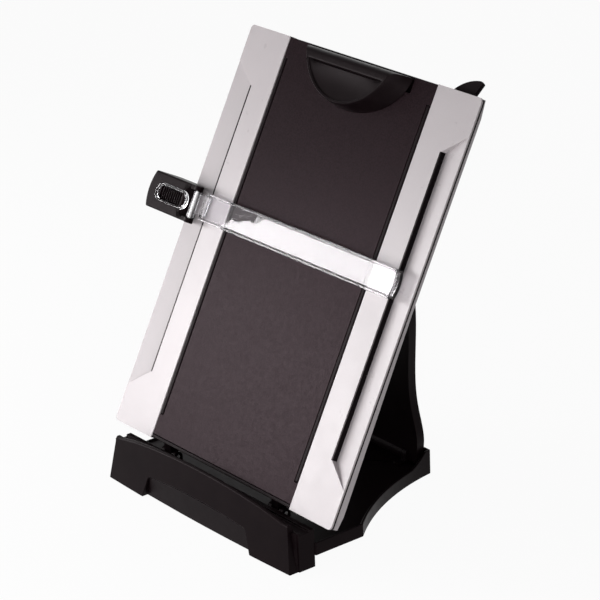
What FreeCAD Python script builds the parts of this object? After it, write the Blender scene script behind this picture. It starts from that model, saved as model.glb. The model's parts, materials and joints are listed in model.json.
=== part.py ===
import FreeCAD, Part
import math
import os
from FreeCAD import Vector

# Document holder with a drawer in its base, modelled at rest in millimetres.
# +X is to the right of a person reading it, +Y runs back from them and +Z is up.
# The origin is the middle of the front rubber foot's sole, on the desk.

os.makedirs("parts", exist_ok=True)

# Driving sizes
panel_width = 240.0
panel_height = 296.0
panel_lean = 27.7
pad_width = 153.8
ledge_width = 202.6
ledge_depth = 21.2
ledge_height = 28.6
base_depth = 159.0
drawer_width = 108.8
drawer_length = 101.0
drawer_height = 11.1

# Shared clearances and the overrun of every cut
slide_gap = 0.3
pin_gap = 0.05
shade_gap = 0.5
cut_over = 3.0

# Heights under and above the tray's floor
desk_gap = 0.8
foot_height = 1.0
plate_thickness = 1.4
drawer_headroom = 1.2
tray_floor_thickness = 1.6
rim_above_floor = 1.4
skirt_below_floor = 6.2
rear_wall_above_rim = 9.0

# Ledge and its lip
origin_behind_ledge = 12.0
lip_foot_depth = 9.0
lip_top_thickness = 3.0
lip_end_rise = 5.0
lip_arch_rise = 8.0
lip_end_taper = 5.6
lip_setback = 4.4
lip_bow = 2.5
shelf_side_step = 1.0
channel_depth = 8.2
channel_sink = 1.4
mouth_foot_margin = 6.1
mouth_top_margin = 0.1
mouth_above_drawer = 3.5
mouth_arch_rise = 3.2
mouth_corner_round = 4.0
foot_pocket_width = 30.0
foot_pocket_depth = 12.8
foot_pocket_from_end = 7.3
foot_pocket_from_front = 6.0
foot_pocket_roof = 2.8

# Tray behind the ledge
tray_side_step = 1.9
tray_wall = 1.8
tray_straight = 62.0
tray_rear_width = 122.4
tray_waist_share = 0.38
tray_waist_width_share = 0.42
horn_rise_length = 18.0
horn_top_length = 5.0
horn_sag_share = 0.29

# Posts, bosses and feet under the tray
rear_foot_spacing = 66.0
rear_foot_from_end = 13.0
rear_post_radius = 6.5
rear_foot_radius = 6.0
front_foot_length = 90.0
front_foot_width = 8.0
boss_margin = 11.6
boss_behind_ledge = 10.8
boss_from_plate_end = 14.0
boss_radius = 4.0
base_screw_radius = 1.25
base_screw_length = 9.0
base_screw_head_radius = 2.6
base_screw_head = 0.7

# Drawer and what it runs on
plate_margin = 4.0
plate_tongue_margin = 3.5
plate_front = 5.0
plate_behind_drawer = 4.0
plate_corner_width = 8.0
plate_corner_length = 12.0
runner_thickness = 1.6
runner_gap = 0.6
runner_lip = 1.4
runner_lip_height = 0.7
runner_from_plate_end = 2.5
drawer_wall = 1.6
drawer_floor = 1.4
drawer_corner = 3.0
drawer_front_back = 7.0
drawer_face_top = 2.9
drawer_face_foot = 4.6
drawer_front_gap = 0.4

# Panel: place of its front face's bottom edge, and its layers from front to back
ledge_to_panel = 20.5
panel_above_ledge = 5.1
panel_corner = 3.0
pad_front = 0.3
pad_thickness = 1.3
core_front_thickness = 2.4
core_flange_thickness = 1.6
core_wall = 2.4
core_from_edge = 8.0
core_inset = 0.5
wing_depth = 6.3
wing_edge = 1.5
wing_back_slope = 16.0
wing_pocket_skin = 2.0
wing_pocket_wall = 2.0
wing_pocket_end = 4.0
seam_gap = 0.2
facet_width = 19.7
facet_depth = 5.1
facet_low_inner = 42.0
facet_low_outer = 27.0
facet_top_inner = 41.0
facet_top_outer = 26.4
inlay_thickness = 1.2
inlay_proud = 0.05
edge_strip_width = 2.8
edge_strip_depth = 1.5
edge_strip_inset = 0.2
skirt_thickness = 2.6
skirt_foot_depth = 5.7
skirt_top_depth = 2.6
skirt_knee = 150.0
rail_width = 4.0
rail_low = 18.0
rail_from_top = 15.0
rail_proud = 0.2
pad_bar_height = 2.5
pad_bar_proud = 0.1
pad_low = 3.2

# Panel hinge
hinge_back = 8.0
hinge_below = 5.0
hinge_pin_radius = 1.5
hinge_lug_radius = 3.6
hinge_lug_width = 7.0
hinge_lug_spacing = 120.0
hinge_ear_radius = 3.8
hinge_ear_width = 4.0
hinge_ear_gap = 0.5

# Back cover, with the memo board's slot inside it
cover_from_edge = 16.0
cover_low = 8.0
cover_from_top = 12.0
cover_plate = 1.8
cover_wall = 5.0
slot_depth = 4.7
cover_rib_depth = 1.2
cover_rib_width = 3.0
cover_rib_count = 5
hinge_foot_thickness = 1.4
cover_screw_radius = 1.2
cover_screw_head_radius = 2.4
cover_screw_head = 1.2
side_screw_inset_low = 22.0
side_screw_inset_high = 16.0
side_screw_count = 3
foot_screw_count = 4
foot_screw_left = 54.0
foot_screw_right = 4.0

# Memo board
memo_side_gap = 1.0
memo_from_edge = 10.0
memo_thickness = 2.4
memo_front_gap = 1.0
memo_edge_width = 1.6
memo_edge_proud = 0.3
tab_width = 24.3
tab_from_edge = 12.7
tab_peak_from_tip = 3.3
tab_height = 10.6
tab_swell_share = 0.72
tab_tip_drop = 1.5
tab_notch = 3.6
tab_root = 12.0
tab_thickness = 3.0

# Memo clip: an oval foot, and a round shoulder, crown and dish, each with its own middle and top
clip_foot_half_width = 53.2
clip_foot_half_height = 37.5
clip_foot_rise = 1.5
clip_foot_drop = 1.5
clip_shoulder_radius = 49.8
clip_shoulder_rise = 15.3
clip_shoulder_drop = 2.2
clip_crown_radius = 46.4
clip_crown_rise = 13.0
clip_crown_drop = 4.3
clip_dish_radius = 44.6
clip_dish_rise = 12.4
clip_shoulder_front = 9.5
clip_crown_front = 12.5
clip_foot_gap = 0.3
clip_wall = 2.2
clip_roof = 3.2
clip_dish_depth = 1.0
clip_chord_drop = 10.0
clip_chord_width = 1.0
clip_chord_length = 70.0
clip_chord_depth = 1.6
clip_axis_drop = 9.0
clip_axis_front = 4.0
clip_pin_radius = 1.5
clip_pin_length = 66.0
clip_lug_spacing = 44.0
clip_lug_width = 4.0
clip_lug_radius = 2.9
clip_knuckle_width = 4.0
clip_knuckle_radius = 3.0
clip_spring_radius = 2.6
clip_spring_length = 30.0
clip_recess_width = 108.4
clip_recess_drop = 11.5
clip_recess_depth = 1.4
clip_window_width = 62.0
clip_window_drop = 17.0
grip_thickness = 1.1
grip_band = 2.6
grip_drop = 27.0

# Line guide: slider, clear loop, pin and clear bar
guide_height = 162.85
slider_height = 26.7
slider_reach_in = 10.0
slider_reach_out = 34.8
slider_bulge = 2.8
slider_front = 10.0
slider_wall_outside = 0.6
gib_front = 9.2
gib_thickness = 2.0
gib_reach_in = 12.0
slider_slot_inset = 11.8
slider_slot_from_panel = 3.0
slider_slot_height = 11.0
slider_slot_depth = 1.6
slider_rib_count = 9
slider_rib_width = 0.9
slider_rib_height = 0.8
gib_screw_radius = 1.4
gib_screw_spacing = 16.0
gib_screw_from_left = 16.0
gib_screw_length = 9.0
gib_screw_head_radius = 2.6
gib_screw_head = 1.0
loop_inset = 7.8
loop_from_end = 0.6
loop_height = 13.6
loop_band = 1.8
loop_depth = 2.2
guide_axis_in = 13.6
guide_axis_front = 8.0
guide_pin_radius = 1.2
guide_barrel_radius = 3.2
guide_ear_radius = 3.3
guide_ear_height = 3.5
bar_below_middle = 8.85
bar_above_middle = 11.35
bar_end_in = 13.0
bar_start_in = 17.0
bar_back = 1.0
bar_web = 1.8
bar_rim = 1.8
bar_rim_front = 7.2
bar_link_reach = 9.0

# Easel leg, its pivot in the tray and its cross bar behind the panel
leg_pivot_from_end = 7.5
leg_pivot_above_floor = 4.9
leg_bar_from_top = 101.0
leg_bar_behind = 20.3
leg_pin_radius = 2.0
leg_barrel_radius = 4.5
leg_barrel_length = 87.2
leg_ear_width = 4.0
leg_ear_gap = 0.4
leg_ear_radius = 4.5
leg_skin = 2.4
leg_front = 2.5
leg_back = 4.0
leg_flange = 2.2
leg_foot_below = 3.4
leg_rib_width = 2.0
leg_bracket_foot = 12.0
leg_bracket_foot_height = 1.4
leg_foot_half = 57.6
leg_sole_half = 58.6
leg_ankle_half = 60.6
leg_waist_half = 59.3
leg_knee_half = 60.4
leg_calf_half = 63.0
leg_hip_half = 69.0
leg_shoulder_half = 71.0
leg_top_half = 66.0
leg_sole_share = 0.028
leg_ankle_share = 0.074
leg_waist_share = 0.226
leg_knee_share = 0.362
leg_calf_share = 0.447
leg_hip_share = 0.622
leg_shoulder_share = 0.792
leg_top_below_bar = 4.0
leg_bar_radius = 3.0
leg_eye_radius = 4.4
leg_eye_width = 6.0
leg_inner_eye_start = 6.0
leg_bar_length = 136.0
rack_height = 2.5
rack_width = 12.0
rack_spacing = 72.0
rack_below_bar = 27.0
rack_above_bar = 6.0
rack_tooth_depth = 0.9
rack_pitch = 7.0
rack_tooth_count = 4

# Places worked out from the sizes above, for the base
front_y = -origin_behind_ledge
plate_low = foot_height
plate_high = foot_height + plate_thickness
drawer_low = plate_high + slide_gap
drawer_top = drawer_low + drawer_height
tray_floor_under = drawer_top + drawer_headroom
tray_floor_top = tray_floor_under + tray_floor_thickness
rim_height = tray_floor_top + rim_above_floor
skirt_height = tray_floor_under - skirt_below_floor
rear_wall_height = rim_height + rear_wall_above_rim
tray_front_y = front_y + ledge_depth
tray_rear_y = front_y + base_depth
tray_width = ledge_width + 2 * tray_side_step
tray_waist_back = tray_straight + (base_depth - tray_straight) * tray_waist_share
tray_waist_width = tray_rear_width + (tray_width - tray_rear_width) * tray_waist_width_share
lip_end_height = ledge_height + lip_end_rise
lip_mid_height = lip_end_height + lip_arch_rise
lip_top_width = ledge_width - 2 * lip_end_taper
shelf_width = ledge_width + 2 * shelf_side_step
mouth_foot_width = drawer_width + 2 * mouth_foot_margin
mouth_top_width = drawer_width + 2 * mouth_top_margin
mouth_end_height = drawer_top + mouth_above_drawer
mouth_mid_height = mouth_end_height + mouth_arch_rise
plate_rear = drawer_front_back + drawer_length + plate_behind_drawer
boss_spacing = drawer_width + 2 * boss_margin
boss_front = ledge_depth + boss_behind_ledge
boss_rear = plate_rear - boss_from_plate_end
plate_width = boss_spacing + 2 * plate_margin
plate_tongue_width = mouth_foot_width - 2 * plate_tongue_margin
runner_length = plate_rear - ledge_depth - slide_gap - runner_from_plate_end
rear_foot_back = base_depth - rear_foot_from_end

# Places on and behind the panel, in its own frame
half_panel = panel_width / 2
facet_inner = half_panel - facet_width
facet_high_inner = panel_height - facet_top_inner
facet_high_outer = panel_height - facet_top_outer
wing_back_slope_start = half_panel - wing_back_slope
core_reach = half_panel - core_from_edge
rail_high = panel_height - rail_from_top
cover_half_width = half_panel - cover_from_edge
cover_high = panel_height - cover_from_top
side_screw_low = cover_low + side_screw_inset_low
side_screw_high = cover_high - side_screw_inset_high
foot_screw_first = foot_screw_left - cover_half_width
foot_screw_last = cover_half_width - foot_screw_right
memo_left = cover_half_width - cover_wall - memo_side_gap
memo_right = half_panel - memo_from_edge
tab_right = half_panel - tab_from_edge
tab_left = tab_right - tab_width
tab_peak = tab_right - tab_peak_from_tip
clip_chord = panel_height - clip_chord_drop
clip_axis_height = panel_height - clip_axis_drop
clip_recess_low = panel_height - clip_recess_drop
clip_window_low = panel_height - clip_window_drop
grip_top = panel_height - grip_drop

# Places of the line guide, in the panel's frame
slider_low = guide_height - slider_height / 2
slider_high = guide_height + slider_height / 2
slider_right = half_panel - slider_reach_in
slider_left = half_panel + slider_reach_out
gib_reach = half_panel - gib_reach_in
slider_slot_left = slider_left - slider_slot_inset
slider_slot_right = slider_right + slider_slot_from_panel
loop_left = slider_left - loop_inset
loop_right = slider_right + loop_from_end
guide_axis_side = half_panel - guide_axis_in
bar_low = guide_height - bar_below_middle
bar_high = guide_height + bar_above_middle
bar_right = half_panel - bar_end_in
bar_left = half_panel - bar_start_in

# The panel's place in the whole, its hinge, and the leg between the tray and the panel's back
panel_front_y = front_y + ledge_to_panel
panel_bottom_z = ledge_height + panel_above_ledge
lean_sin = math.sin(math.radians(panel_lean))
lean_cos = math.cos(math.radians(panel_lean))
core_front = pad_front + pad_thickness
core_side_half = pad_width / 2 - seam_gap / 2
flange_front = wing_depth
flange_back = wing_depth + core_flange_thickness
cover_back = flange_back + slot_depth + cover_plate
hinge_y = panel_front_y - hinge_below * lean_sin + hinge_back * lean_cos
hinge_z = panel_bottom_z - hinge_below * lean_cos - hinge_back * lean_sin
leg_y = tray_rear_y - leg_pivot_from_end
leg_pivot_z = tray_floor_top + leg_pivot_above_floor
leg_bar_up = panel_height - leg_bar_from_top
leg_bar_y = panel_front_y + leg_bar_up * lean_sin + leg_bar_behind * lean_cos
leg_bar_z = panel_bottom_z + leg_bar_up * lean_cos - leg_bar_behind * lean_sin
leg_length = math.hypot(leg_y - leg_bar_y, leg_bar_z - leg_pivot_z)
leg_lean = math.degrees(math.atan2(leg_y - leg_bar_y, leg_bar_z - leg_pivot_z))
memo_front = flange_back + memo_front_gap
memo_back = memo_front + memo_thickness
memo_low = cover_low + cover_wall + slide_gap
leg_sole_up = leg_length * leg_sole_share
leg_ankle_up = leg_length * leg_ankle_share
leg_waist_up = leg_length * leg_waist_share
leg_knee_up = leg_length * leg_knee_share
leg_calf_up = leg_length * leg_calf_share
leg_hip_up = leg_length * leg_hip_share
leg_shoulder_up = leg_length * leg_shoulder_share
rack_low = leg_bar_up - rack_below_bar
rack_high = leg_bar_up + rack_above_bar

X = Vector(1, 0, 0)
Y = Vector(0, 1, 0)
Z = Vector(0, 0, 1)
ORIGIN = Vector(0, 0, 0)


# Shapes used again and again

def box(x0, x1, y0, y1, z0, z1):
    """A block between two corners."""
    return Part.makeBox(x1 - x0, y1 - y0, z1 - z0, Vector(x0, y0, z0))


def rod(start, along, radius, length):
    """A round bar from a point along a direction."""
    return Part.makeCylinder(radius, length, start, along)


def polygon(points):
    """A flat face with straight sides through the points."""
    return Part.Face(Part.makePolygon(points + [points[0]]))


def prism_x(points, x0, x1):
    """A (y, z) outline carried along X."""
    return polygon([Vector(x0, y, z) for y, z in points]).extrude(Vector(x1 - x0, 0, 0))


def prism_y(points, y0, y1):
    """An (x, z) outline carried along Y."""
    return polygon([Vector(x, y0, z) for x, z in points]).extrude(Vector(0, y1 - y0, 0))


def prism_z(points, z0, z1):
    """An (x, y) outline carried along Z."""
    return polygon([Vector(x, y, z0) for x, y in points]).extrude(Vector(0, 0, z1 - z0))


def line(a, b):
    """A straight edge."""
    return Part.LineSegment(a, b).toShape()


def arc(a, b, c):
    """A round edge through three points."""
    return Part.Arc(a, b, c).toShape()


def face_of(edges):
    """A flat face inside a closed ring of edges."""
    return Part.Face(Part.Wire(edges))


def mirrored(shape):
    """The same shape on the other side of the middle plane."""
    return shape.mirror(ORIGIN, X)


def pair(shape):
    """A shape and its mirror image, joined."""
    return shape.fuse(mirrored(shape))


def both_sides(shape):
    """A shape and its mirror image, as two solids."""
    return Part.makeCompound([shape, mirrored(shape)])


def on_panel(shape):
    """Move a shape from the panel's own upright frame to the leaning panel.

    In that frame X is across, Y is the depth behind the front face and Z runs up the face.
    """
    leaning = shape.copy()
    leaning.rotate(ORIGIN, X, -panel_lean)
    leaning.translate(Vector(0, panel_front_y, panel_bottom_z))
    return leaning


def on_leg(shape):
    """Move a shape from the leg's own upright frame, with its pivot at the origin."""
    leaning = shape.copy()
    leaning.rotate(ORIGIN, X, leg_lean)
    leaning.translate(Vector(0, leg_y, leg_pivot_z))
    return leaning


def round_edges(shape, radius, keep):
    """Round the straight edges whose two ends satisfy a test."""
    edges = []
    for edge in shape.Edges:
        if len(edge.Vertexes) == 2 and keep(edge.Vertexes[0].Point, edge.Vertexes[1].Point):
            edges.append(edge)
    return shape.makeFillet(radius, edges)


def along(direction):
    """A test for edges that run along a direction."""
    def test(a, b):
        span = b.sub(a)
        return abs(abs(span.dot(direction)) - span.Length) < span.Length / 1000
    return test


def save(node, shape):
    """Write one node's solids."""
    shape.exportStep("parts/" + node + ".step")


# Base: ledge, tray, feet, bottom plate and drawer

def bowed_wall(profile):
    """Carry a (y, z) profile round a wide arc, so that its middle stands forward by the bow."""
    half = ledge_width / 2
    radius = (half * half + lip_bow * lip_bow) / (2 * lip_bow)
    swing = math.degrees(math.asin(half / radius)) * (half + cut_over) / half
    centre = Vector(0, front_y - lip_bow + radius, 0)
    face = polygon([Vector(0, front_y - lip_bow + y, z) for y, z in profile])
    face.rotate(centre, Z, -swing)
    return face.revolve(centre, Z, 2 * swing)


def setback_at(height):
    """How far the lip's front face lies behind its foot at a height."""
    return lip_setback * (height - desk_gap) / (lip_end_height - desk_gap)


def lip_outline():
    """The lip seen from the front: sloping ends under an arch."""
    foot = ledge_width / 2
    top = lip_top_width / 2
    y = front_y - lip_bow - cut_over
    left_foot = Vector(-foot, y, desk_gap)
    right_foot = Vector(foot, y, desk_gap)
    right_top = Vector(top, y, lip_end_height)
    left_top = Vector(-top, y, lip_end_height)
    crown = Vector(0, y, lip_mid_height)
    edges = [line(left_foot, right_foot), line(right_foot, right_top), arc(right_top, crown, left_top)]
    edges.append(line(left_top, left_foot))
    return face_of(edges).extrude(Vector(0, ledge_depth, 0))


def mouth_half_at(height):
    """Half the width of the drawer's opening at a height."""
    slope = (mouth_foot_width - mouth_top_width) / 2 / (mouth_end_height - desk_gap)
    return mouth_foot_width / 2 - slope * (height - desk_gap)


def mouth(inset, depth):
    """The drawer's opening seen from the front, less an inset, carried back by a depth."""
    low = desk_gap + inset if inset > 0 else desk_gap - cut_over
    foot = mouth_half_at(low) - inset
    top = mouth_half_at(mouth_end_height) - inset
    y = front_y - lip_bow - cut_over
    left_foot = Vector(-foot, y, low)
    right_foot = Vector(foot, y, low)
    right_top = Vector(top, y, mouth_end_height - inset)
    left_top = Vector(-top, y, mouth_end_height - inset)
    crown = Vector(0, y, mouth_mid_height - inset)
    edges = [line(left_foot, right_foot), line(right_foot, right_top), arc(right_top, crown, left_top)]
    edges.append(line(left_top, left_foot))
    body = face_of(edges).extrude(Vector(0, depth, 0))
    lowest_corner = mouth_end_height - 2 * inset - slide_gap
    runs_back = along(Y)
    return round_edges(body, mouth_corner_round, lambda a, b: runs_back(a, b) and a.z > lowest_corner)


def front_ledge():
    """Lip and shelf in one moulding, open in the middle for the drawer and hollow in its feet."""
    above = lip_mid_height + cut_over
    top_front = setback_at(above)
    lip = bowed_wall([
        (0, desk_gap),
        (lip_foot_depth, desk_gap),
        (lip_foot_depth, ledge_height),
        (top_front + lip_top_thickness, above),
        (top_front, above),
    ]).common(lip_outline())
    shelf_front = front_y + lip_foot_depth - lip_bow
    shelf_half = shelf_width / 2
    shelf = box(-shelf_half, shelf_half, shelf_front, tray_front_y, desk_gap, ledge_height)
    channel_front = front_y + lip_foot_depth
    channel = box(-shelf_half - cut_over, shelf_half + cut_over, channel_front,
                  channel_front + channel_depth, ledge_height - channel_sink, ledge_height + cut_over)
    end_trim = prism_z([
        (ledge_width / 2, front_y - cut_over),
        (shelf_half + cut_over, front_y - cut_over),
        (shelf_half + cut_over, channel_front),
        (shelf_half, channel_front),
        (lip_top_width / 2, shelf_front),
    ], -cut_over, ledge_height + cut_over)
    body = lip.fuse(shelf.cut(channel).cut(pair(end_trim).cut(lip_outline())))
    body = body.cut(mouth(0, ledge_depth + lip_bow + 2 * cut_over))
    pocket_end = ledge_width / 2 - foot_pocket_from_end
    pocket_front = front_y + foot_pocket_from_front
    pocket = box(pocket_end - foot_pocket_width, pocket_end, pocket_front,
                 pocket_front + foot_pocket_depth, desk_gap - cut_over, ledge_height - foot_pocket_roof)
    return body.cut(pair(pocket)).removeSplitter()


def tray_outline(inset, z0, z1):
    """The waisted tray seen from above, less an inset, between two heights."""
    front_half = tray_width / 2 - inset
    rear_half = tray_rear_width / 2 - inset
    waist_half = tray_waist_width / 2 - inset
    y0 = tray_front_y + inset
    y1 = tray_rear_y - inset
    y_side = front_y + tray_straight
    y_waist = front_y + tray_waist_back
    edges = [
        line(Vector(-front_half, y0, z0), Vector(front_half, y0, z0)),
        line(Vector(front_half, y0, z0), Vector(front_half, y_side, z0)),
        arc(Vector(front_half, y_side, z0), Vector(waist_half, y_waist, z0), Vector(rear_half, y1, z0)),
        line(Vector(rear_half, y1, z0), Vector(-rear_half, y1, z0)),
        arc(Vector(-rear_half, y1, z0), Vector(-waist_half, y_waist, z0), Vector(-front_half, y_side, z0)),
        line(Vector(-front_half, y_side, z0), Vector(-front_half, y0, z0)),
    ]
    return face_of(edges).extrude(Vector(0, 0, z1 - z0))


def rear_wall():
    """The tray's back wall, with horns that sweep up from the rim at its two ends."""
    ring = tray_outline(0, skirt_height, rear_wall_height)
    ring = ring.cut(tray_outline(tray_wall, skirt_height - cut_over, rear_wall_height + cut_over))
    x = -tray_width
    start_y = tray_rear_y - horn_top_length - horn_rise_length
    top_y = tray_rear_y - horn_top_length
    back_y = tray_rear_y + cut_over
    low = Vector(x, start_y, rim_height)
    high = Vector(x, top_y, rear_wall_height)
    rise = rear_wall_height - rim_height
    sag = Vector(x, (start_y + top_y) / 2, rim_height + rise * horn_sag_share)
    edges = [
        arc(low, sag, high),
        line(high, Vector(x, back_y, rear_wall_height)),
        line(Vector(x, back_y, rear_wall_height), Vector(x, back_y, skirt_height)),
        line(Vector(x, back_y, skirt_height), Vector(x, start_y, skirt_height)),
        line(Vector(x, start_y, skirt_height), low),
    ]
    return ring.common(face_of(edges).extrude(Vector(2 * tray_width, 0, 0)))


def boss_places():
    """Where the four bottom plate screws stand."""
    half = boss_spacing / 2
    return [(x, front_y + y) for x in (-half, half) for y in (boss_front, boss_rear)]


def upright_ear(x0, width, y, z, radius):
    """A rounded ear that stands on the tray's floor and carries a cross pin."""
    post = box(x0, x0 + width, y - radius, y + radius, tray_floor_top, z)
    return post.fuse(rod(Vector(x0, y, z), X, radius, width))


def base_tray():
    """Rimmed tray, notched for the hinge brackets, with posts and bosses under its floor."""
    body = tray_outline(0, skirt_height, rim_height)
    body = body.cut(tray_outline(tray_wall, tray_floor_top, rim_height + cut_over))
    body = body.cut(tray_outline(tray_wall, skirt_height - cut_over, tray_floor_under))
    body = body.fuse(rear_wall())
    bay_half = drawer_width / 2 + runner_gap + runner_thickness + slide_gap
    bay_mouth = box(-bay_half, bay_half, tray_front_y - cut_over, tray_front_y + tray_wall + cut_over,
                    skirt_height - cut_over, tray_floor_under)
    body = body.cut(bay_mouth)
    notch_half = hinge_bracket_half() + slide_gap
    notch = box(hinge_lug_spacing / 2 - notch_half, hinge_lug_spacing / 2 + notch_half,
                tray_front_y - cut_over, tray_front_y + tray_wall + slide_gap,
                tray_floor_top, rim_height + cut_over)
    body = body.cut(pair(notch))
    foot_half = rear_foot_spacing / 2
    post_height = tray_floor_top - foot_height
    for x in (-foot_half, foot_half):
        post_foot = Vector(x, front_y + rear_foot_back, foot_height)
        body = body.fuse(rod(post_foot, Z, rear_post_radius, post_height))
    for x, y in boss_places():
        body = body.fuse(rod(Vector(x, y, plate_high), Z, boss_radius, tray_floor_top - plate_high))
    for x, y in boss_places():
        body = body.cut(rod(Vector(x, y, 0), Z, base_screw_radius, plate_low + base_screw_length))
    return body.removeSplitter()


def hinge_bracket_half():
    """Half the width of a panel hinge bracket, ears included."""
    return hinge_lug_width / 2 + hinge_ear_gap + hinge_ear_width


def panel_hinge_bracket():
    """The right-hand bracket on the tray: two ears on a foot, with the panel's lug between them."""
    middle = hinge_lug_spacing / 2
    reach = hinge_bracket_half()
    body = box(middle - reach, middle + reach, hinge_y - hinge_ear_radius, hinge_y + hinge_ear_radius,
               tray_floor_top, tray_floor_top + hinge_foot_thickness)
    for x in (middle + reach - hinge_ear_width, middle - reach):
        body = body.fuse(upright_ear(x, hinge_ear_width, hinge_y, hinge_z, hinge_ear_radius))
    return body.cut(panel_hinge_pin()).removeSplitter()


def leg_bracket():
    """The right-hand bracket on the tray for the leg's pin: one ear with its foot in front."""
    x = leg_barrel_length / 2 + leg_ear_gap
    ear = upright_ear(x, leg_ear_width, leg_y, leg_pivot_z, leg_ear_radius)
    foot = box(x, x + leg_ear_width, leg_y - leg_bracket_foot, leg_y,
               tray_floor_top, tray_floor_top + leg_bracket_foot_height)
    return ear.fuse(foot).cut(leg_pin()).removeSplitter()


def panel_hinge_pin():
    """The right-hand pin that the panel turns on."""
    reach = hinge_bracket_half()
    start = Vector(hinge_lug_spacing / 2 - reach, hinge_y, hinge_z)
    return rod(start, X, hinge_pin_radius, 2 * reach)


def leg_pin():
    """The pin that the leg turns on, across both of its ears."""
    reach = leg_barrel_length / 2 + leg_ear_gap + leg_ear_width
    return rod(Vector(-reach, leg_y, leg_pivot_z), X, leg_pin_radius, 2 * reach)


def bottom_plate():
    """Plate that closes the drawer's bay from below and carries the drawer."""
    half = plate_width / 2
    rear = front_y + plate_rear
    body = prism_z([
        (-half, tray_front_y + slide_gap),
        (half, tray_front_y + slide_gap),
        (half, rear - plate_corner_length),
        (half - plate_corner_width, rear),
        (plate_corner_width - half, rear),
        (-half, rear - plate_corner_length),
    ], plate_low, plate_high)
    tongue = box(-plate_tongue_width / 2, plate_tongue_width / 2, front_y + plate_front,
                 tray_front_y + slide_gap, plate_low, plate_high)
    body = body.fuse(tongue)
    for x, y in boss_places():
        start = Vector(x, y, plate_low - cut_over)
        body = body.cut(rod(start, Z, base_screw_radius, 2 * cut_over + plate_thickness))
    return body.removeSplitter()


def base_screws():
    """Four screws that hold the bottom plate to the tray's bosses."""
    screws = []
    for x, y in boss_places():
        shank = rod(Vector(x, y, plate_low), Z, base_screw_radius, base_screw_length)
        head = rod(Vector(x, y, plate_low - base_screw_head), Z, base_screw_head_radius, base_screw_head)
        screws.append(shank.fuse(head))
    return Part.makeCompound(screws)


def front_foot():
    """Rubber strip under the bottom plate, centred on the origin."""
    half = front_foot_length / 2
    strip = box(-half, half, -front_foot_width / 2, front_foot_width / 2, 0, foot_height)
    return round_edges(strip, front_foot_width / 2 - slide_gap, along(Z))


def rear_feet():
    """Two round rubber feet under the posts at the back."""
    half = rear_foot_spacing / 2
    foot = rod(Vector(half, front_y + rear_foot_back, 0), Z, rear_foot_radius, foot_height)
    return both_sides(foot)


def drawer_runner():
    """The right-hand guide rail beside the drawer, with a lip over its top edge."""
    inner = drawer_width / 2 + runner_gap
    y0 = tray_front_y + slide_gap
    wall = box(inner, inner + runner_thickness, y0, y0 + runner_length, plate_high, tray_floor_under)
    lip = box(inner - runner_lip, inner, y0, y0 + runner_length,
              tray_floor_under - runner_lip_height, tray_floor_under)
    return wall.fuse(lip).removeSplitter()


def drawer_tray():
    """Shallow open box that slides on the bottom plate."""
    half = drawer_width / 2
    y0 = front_y + drawer_front_back
    z0 = drawer_low
    outer = box(-half, half, y0, y0 + drawer_length, z0, drawer_top)
    outer = round_edges(outer, drawer_corner, along(Z))
    inner = box(-half + drawer_wall, half - drawer_wall,
                y0 + drawer_wall, y0 + drawer_length - drawer_wall,
                z0 + drawer_floor, drawer_top + cut_over)
    inner = round_edges(inner, drawer_corner - drawer_wall, along(Z))
    return outer.cut(inner)


def drawer_front():
    """Flat face that fills the ledge's mouth: flush at the top, set back at the bottom."""
    low = desk_gap - cut_over
    high = mouth_mid_height + cut_over
    slope = (drawer_face_foot - drawer_face_top) / (mouth_mid_height - desk_gap)
    face = bowed_wall([
        (drawer_face_foot + slope * (desk_gap - low), low),
        (ledge_depth, low),
        (ledge_depth, high),
        (drawer_face_foot - slope * (high - desk_gap), high),
    ])
    plug = mouth(drawer_front_gap, cut_over + lip_bow + drawer_front_back)
    clear_of_plate = box(-ledge_width, ledge_width,
                         front_y + plate_front - slide_gap, front_y + ledge_depth,
                         0, plate_high + slide_gap)
    return plug.common(face).cut(clear_of_plate)


# Panel: silver wings, black middle, back cover and memo board

def wing():
    """The right-hand silver wing, with its sunk facet and hollow back."""
    inner = pad_width / 2 + seam_gap / 2
    outer = panel_width / 2
    slope_end = outer - edge_strip_width - edge_strip_inset
    body = prism_z([
        (inner, 0),
        (outer, 0),
        (outer, wing_edge),
        (slope_end, wing_edge),
        (wing_back_slope_start, wing_depth),
        (inner, wing_depth),
    ], 0, panel_height)
    wedge = prism_z([
        (facet_inner, -cut_over),
        (facet_inner, facet_depth),
        (outer, 0),
        (outer, -cut_over),
    ], 0, panel_height)
    outline = prism_y([
        (facet_inner, facet_low_inner),
        (facet_inner, facet_high_inner),
        (outer, facet_high_outer),
        (outer, facet_low_outer),
    ], -cut_over, wing_depth)
    inlay_seat = box(facet_inner - inlay_thickness, facet_inner + seam_gap, -cut_over, facet_depth,
                     facet_low_inner, facet_high_inner)
    pocket = box(inner + wing_pocket_wall, facet_inner - inlay_thickness - wing_pocket_wall / 2,
                 wing_pocket_skin, wing_depth + cut_over,
                 wing_pocket_end, panel_height - wing_pocket_end)
    body = body.cut(wedge.common(outline)).cut(inlay_seat).cut(pocket)
    body = body.common(panel_corners(0, panel_width / 2))
    return body.removeSplitter()


def panel_corners(inset, half_width):
    """The panel's rounded outline, used to trim whatever reaches its corners."""
    body = box(-half_width, half_width, -cut_over, cover_back, inset, panel_height - inset)
    return round_edges(body, panel_corner, along(Y))


def wing_inlay():
    """Black strip on the step of the right-hand facet."""
    return box(facet_inner - inlay_thickness, facet_inner, inlay_proud, facet_depth,
               facet_low_inner, facet_high_inner)


def edge_strip():
    """Black strip under the right-hand wing's outer edge."""
    outer = panel_width / 2 - edge_strip_inset
    strip = box(outer - edge_strip_width, outer, wing_edge, wing_edge + edge_strip_depth,
                core_inset, panel_height - core_inset)
    return strip.common(panel_corners(core_inset, outer))


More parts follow.
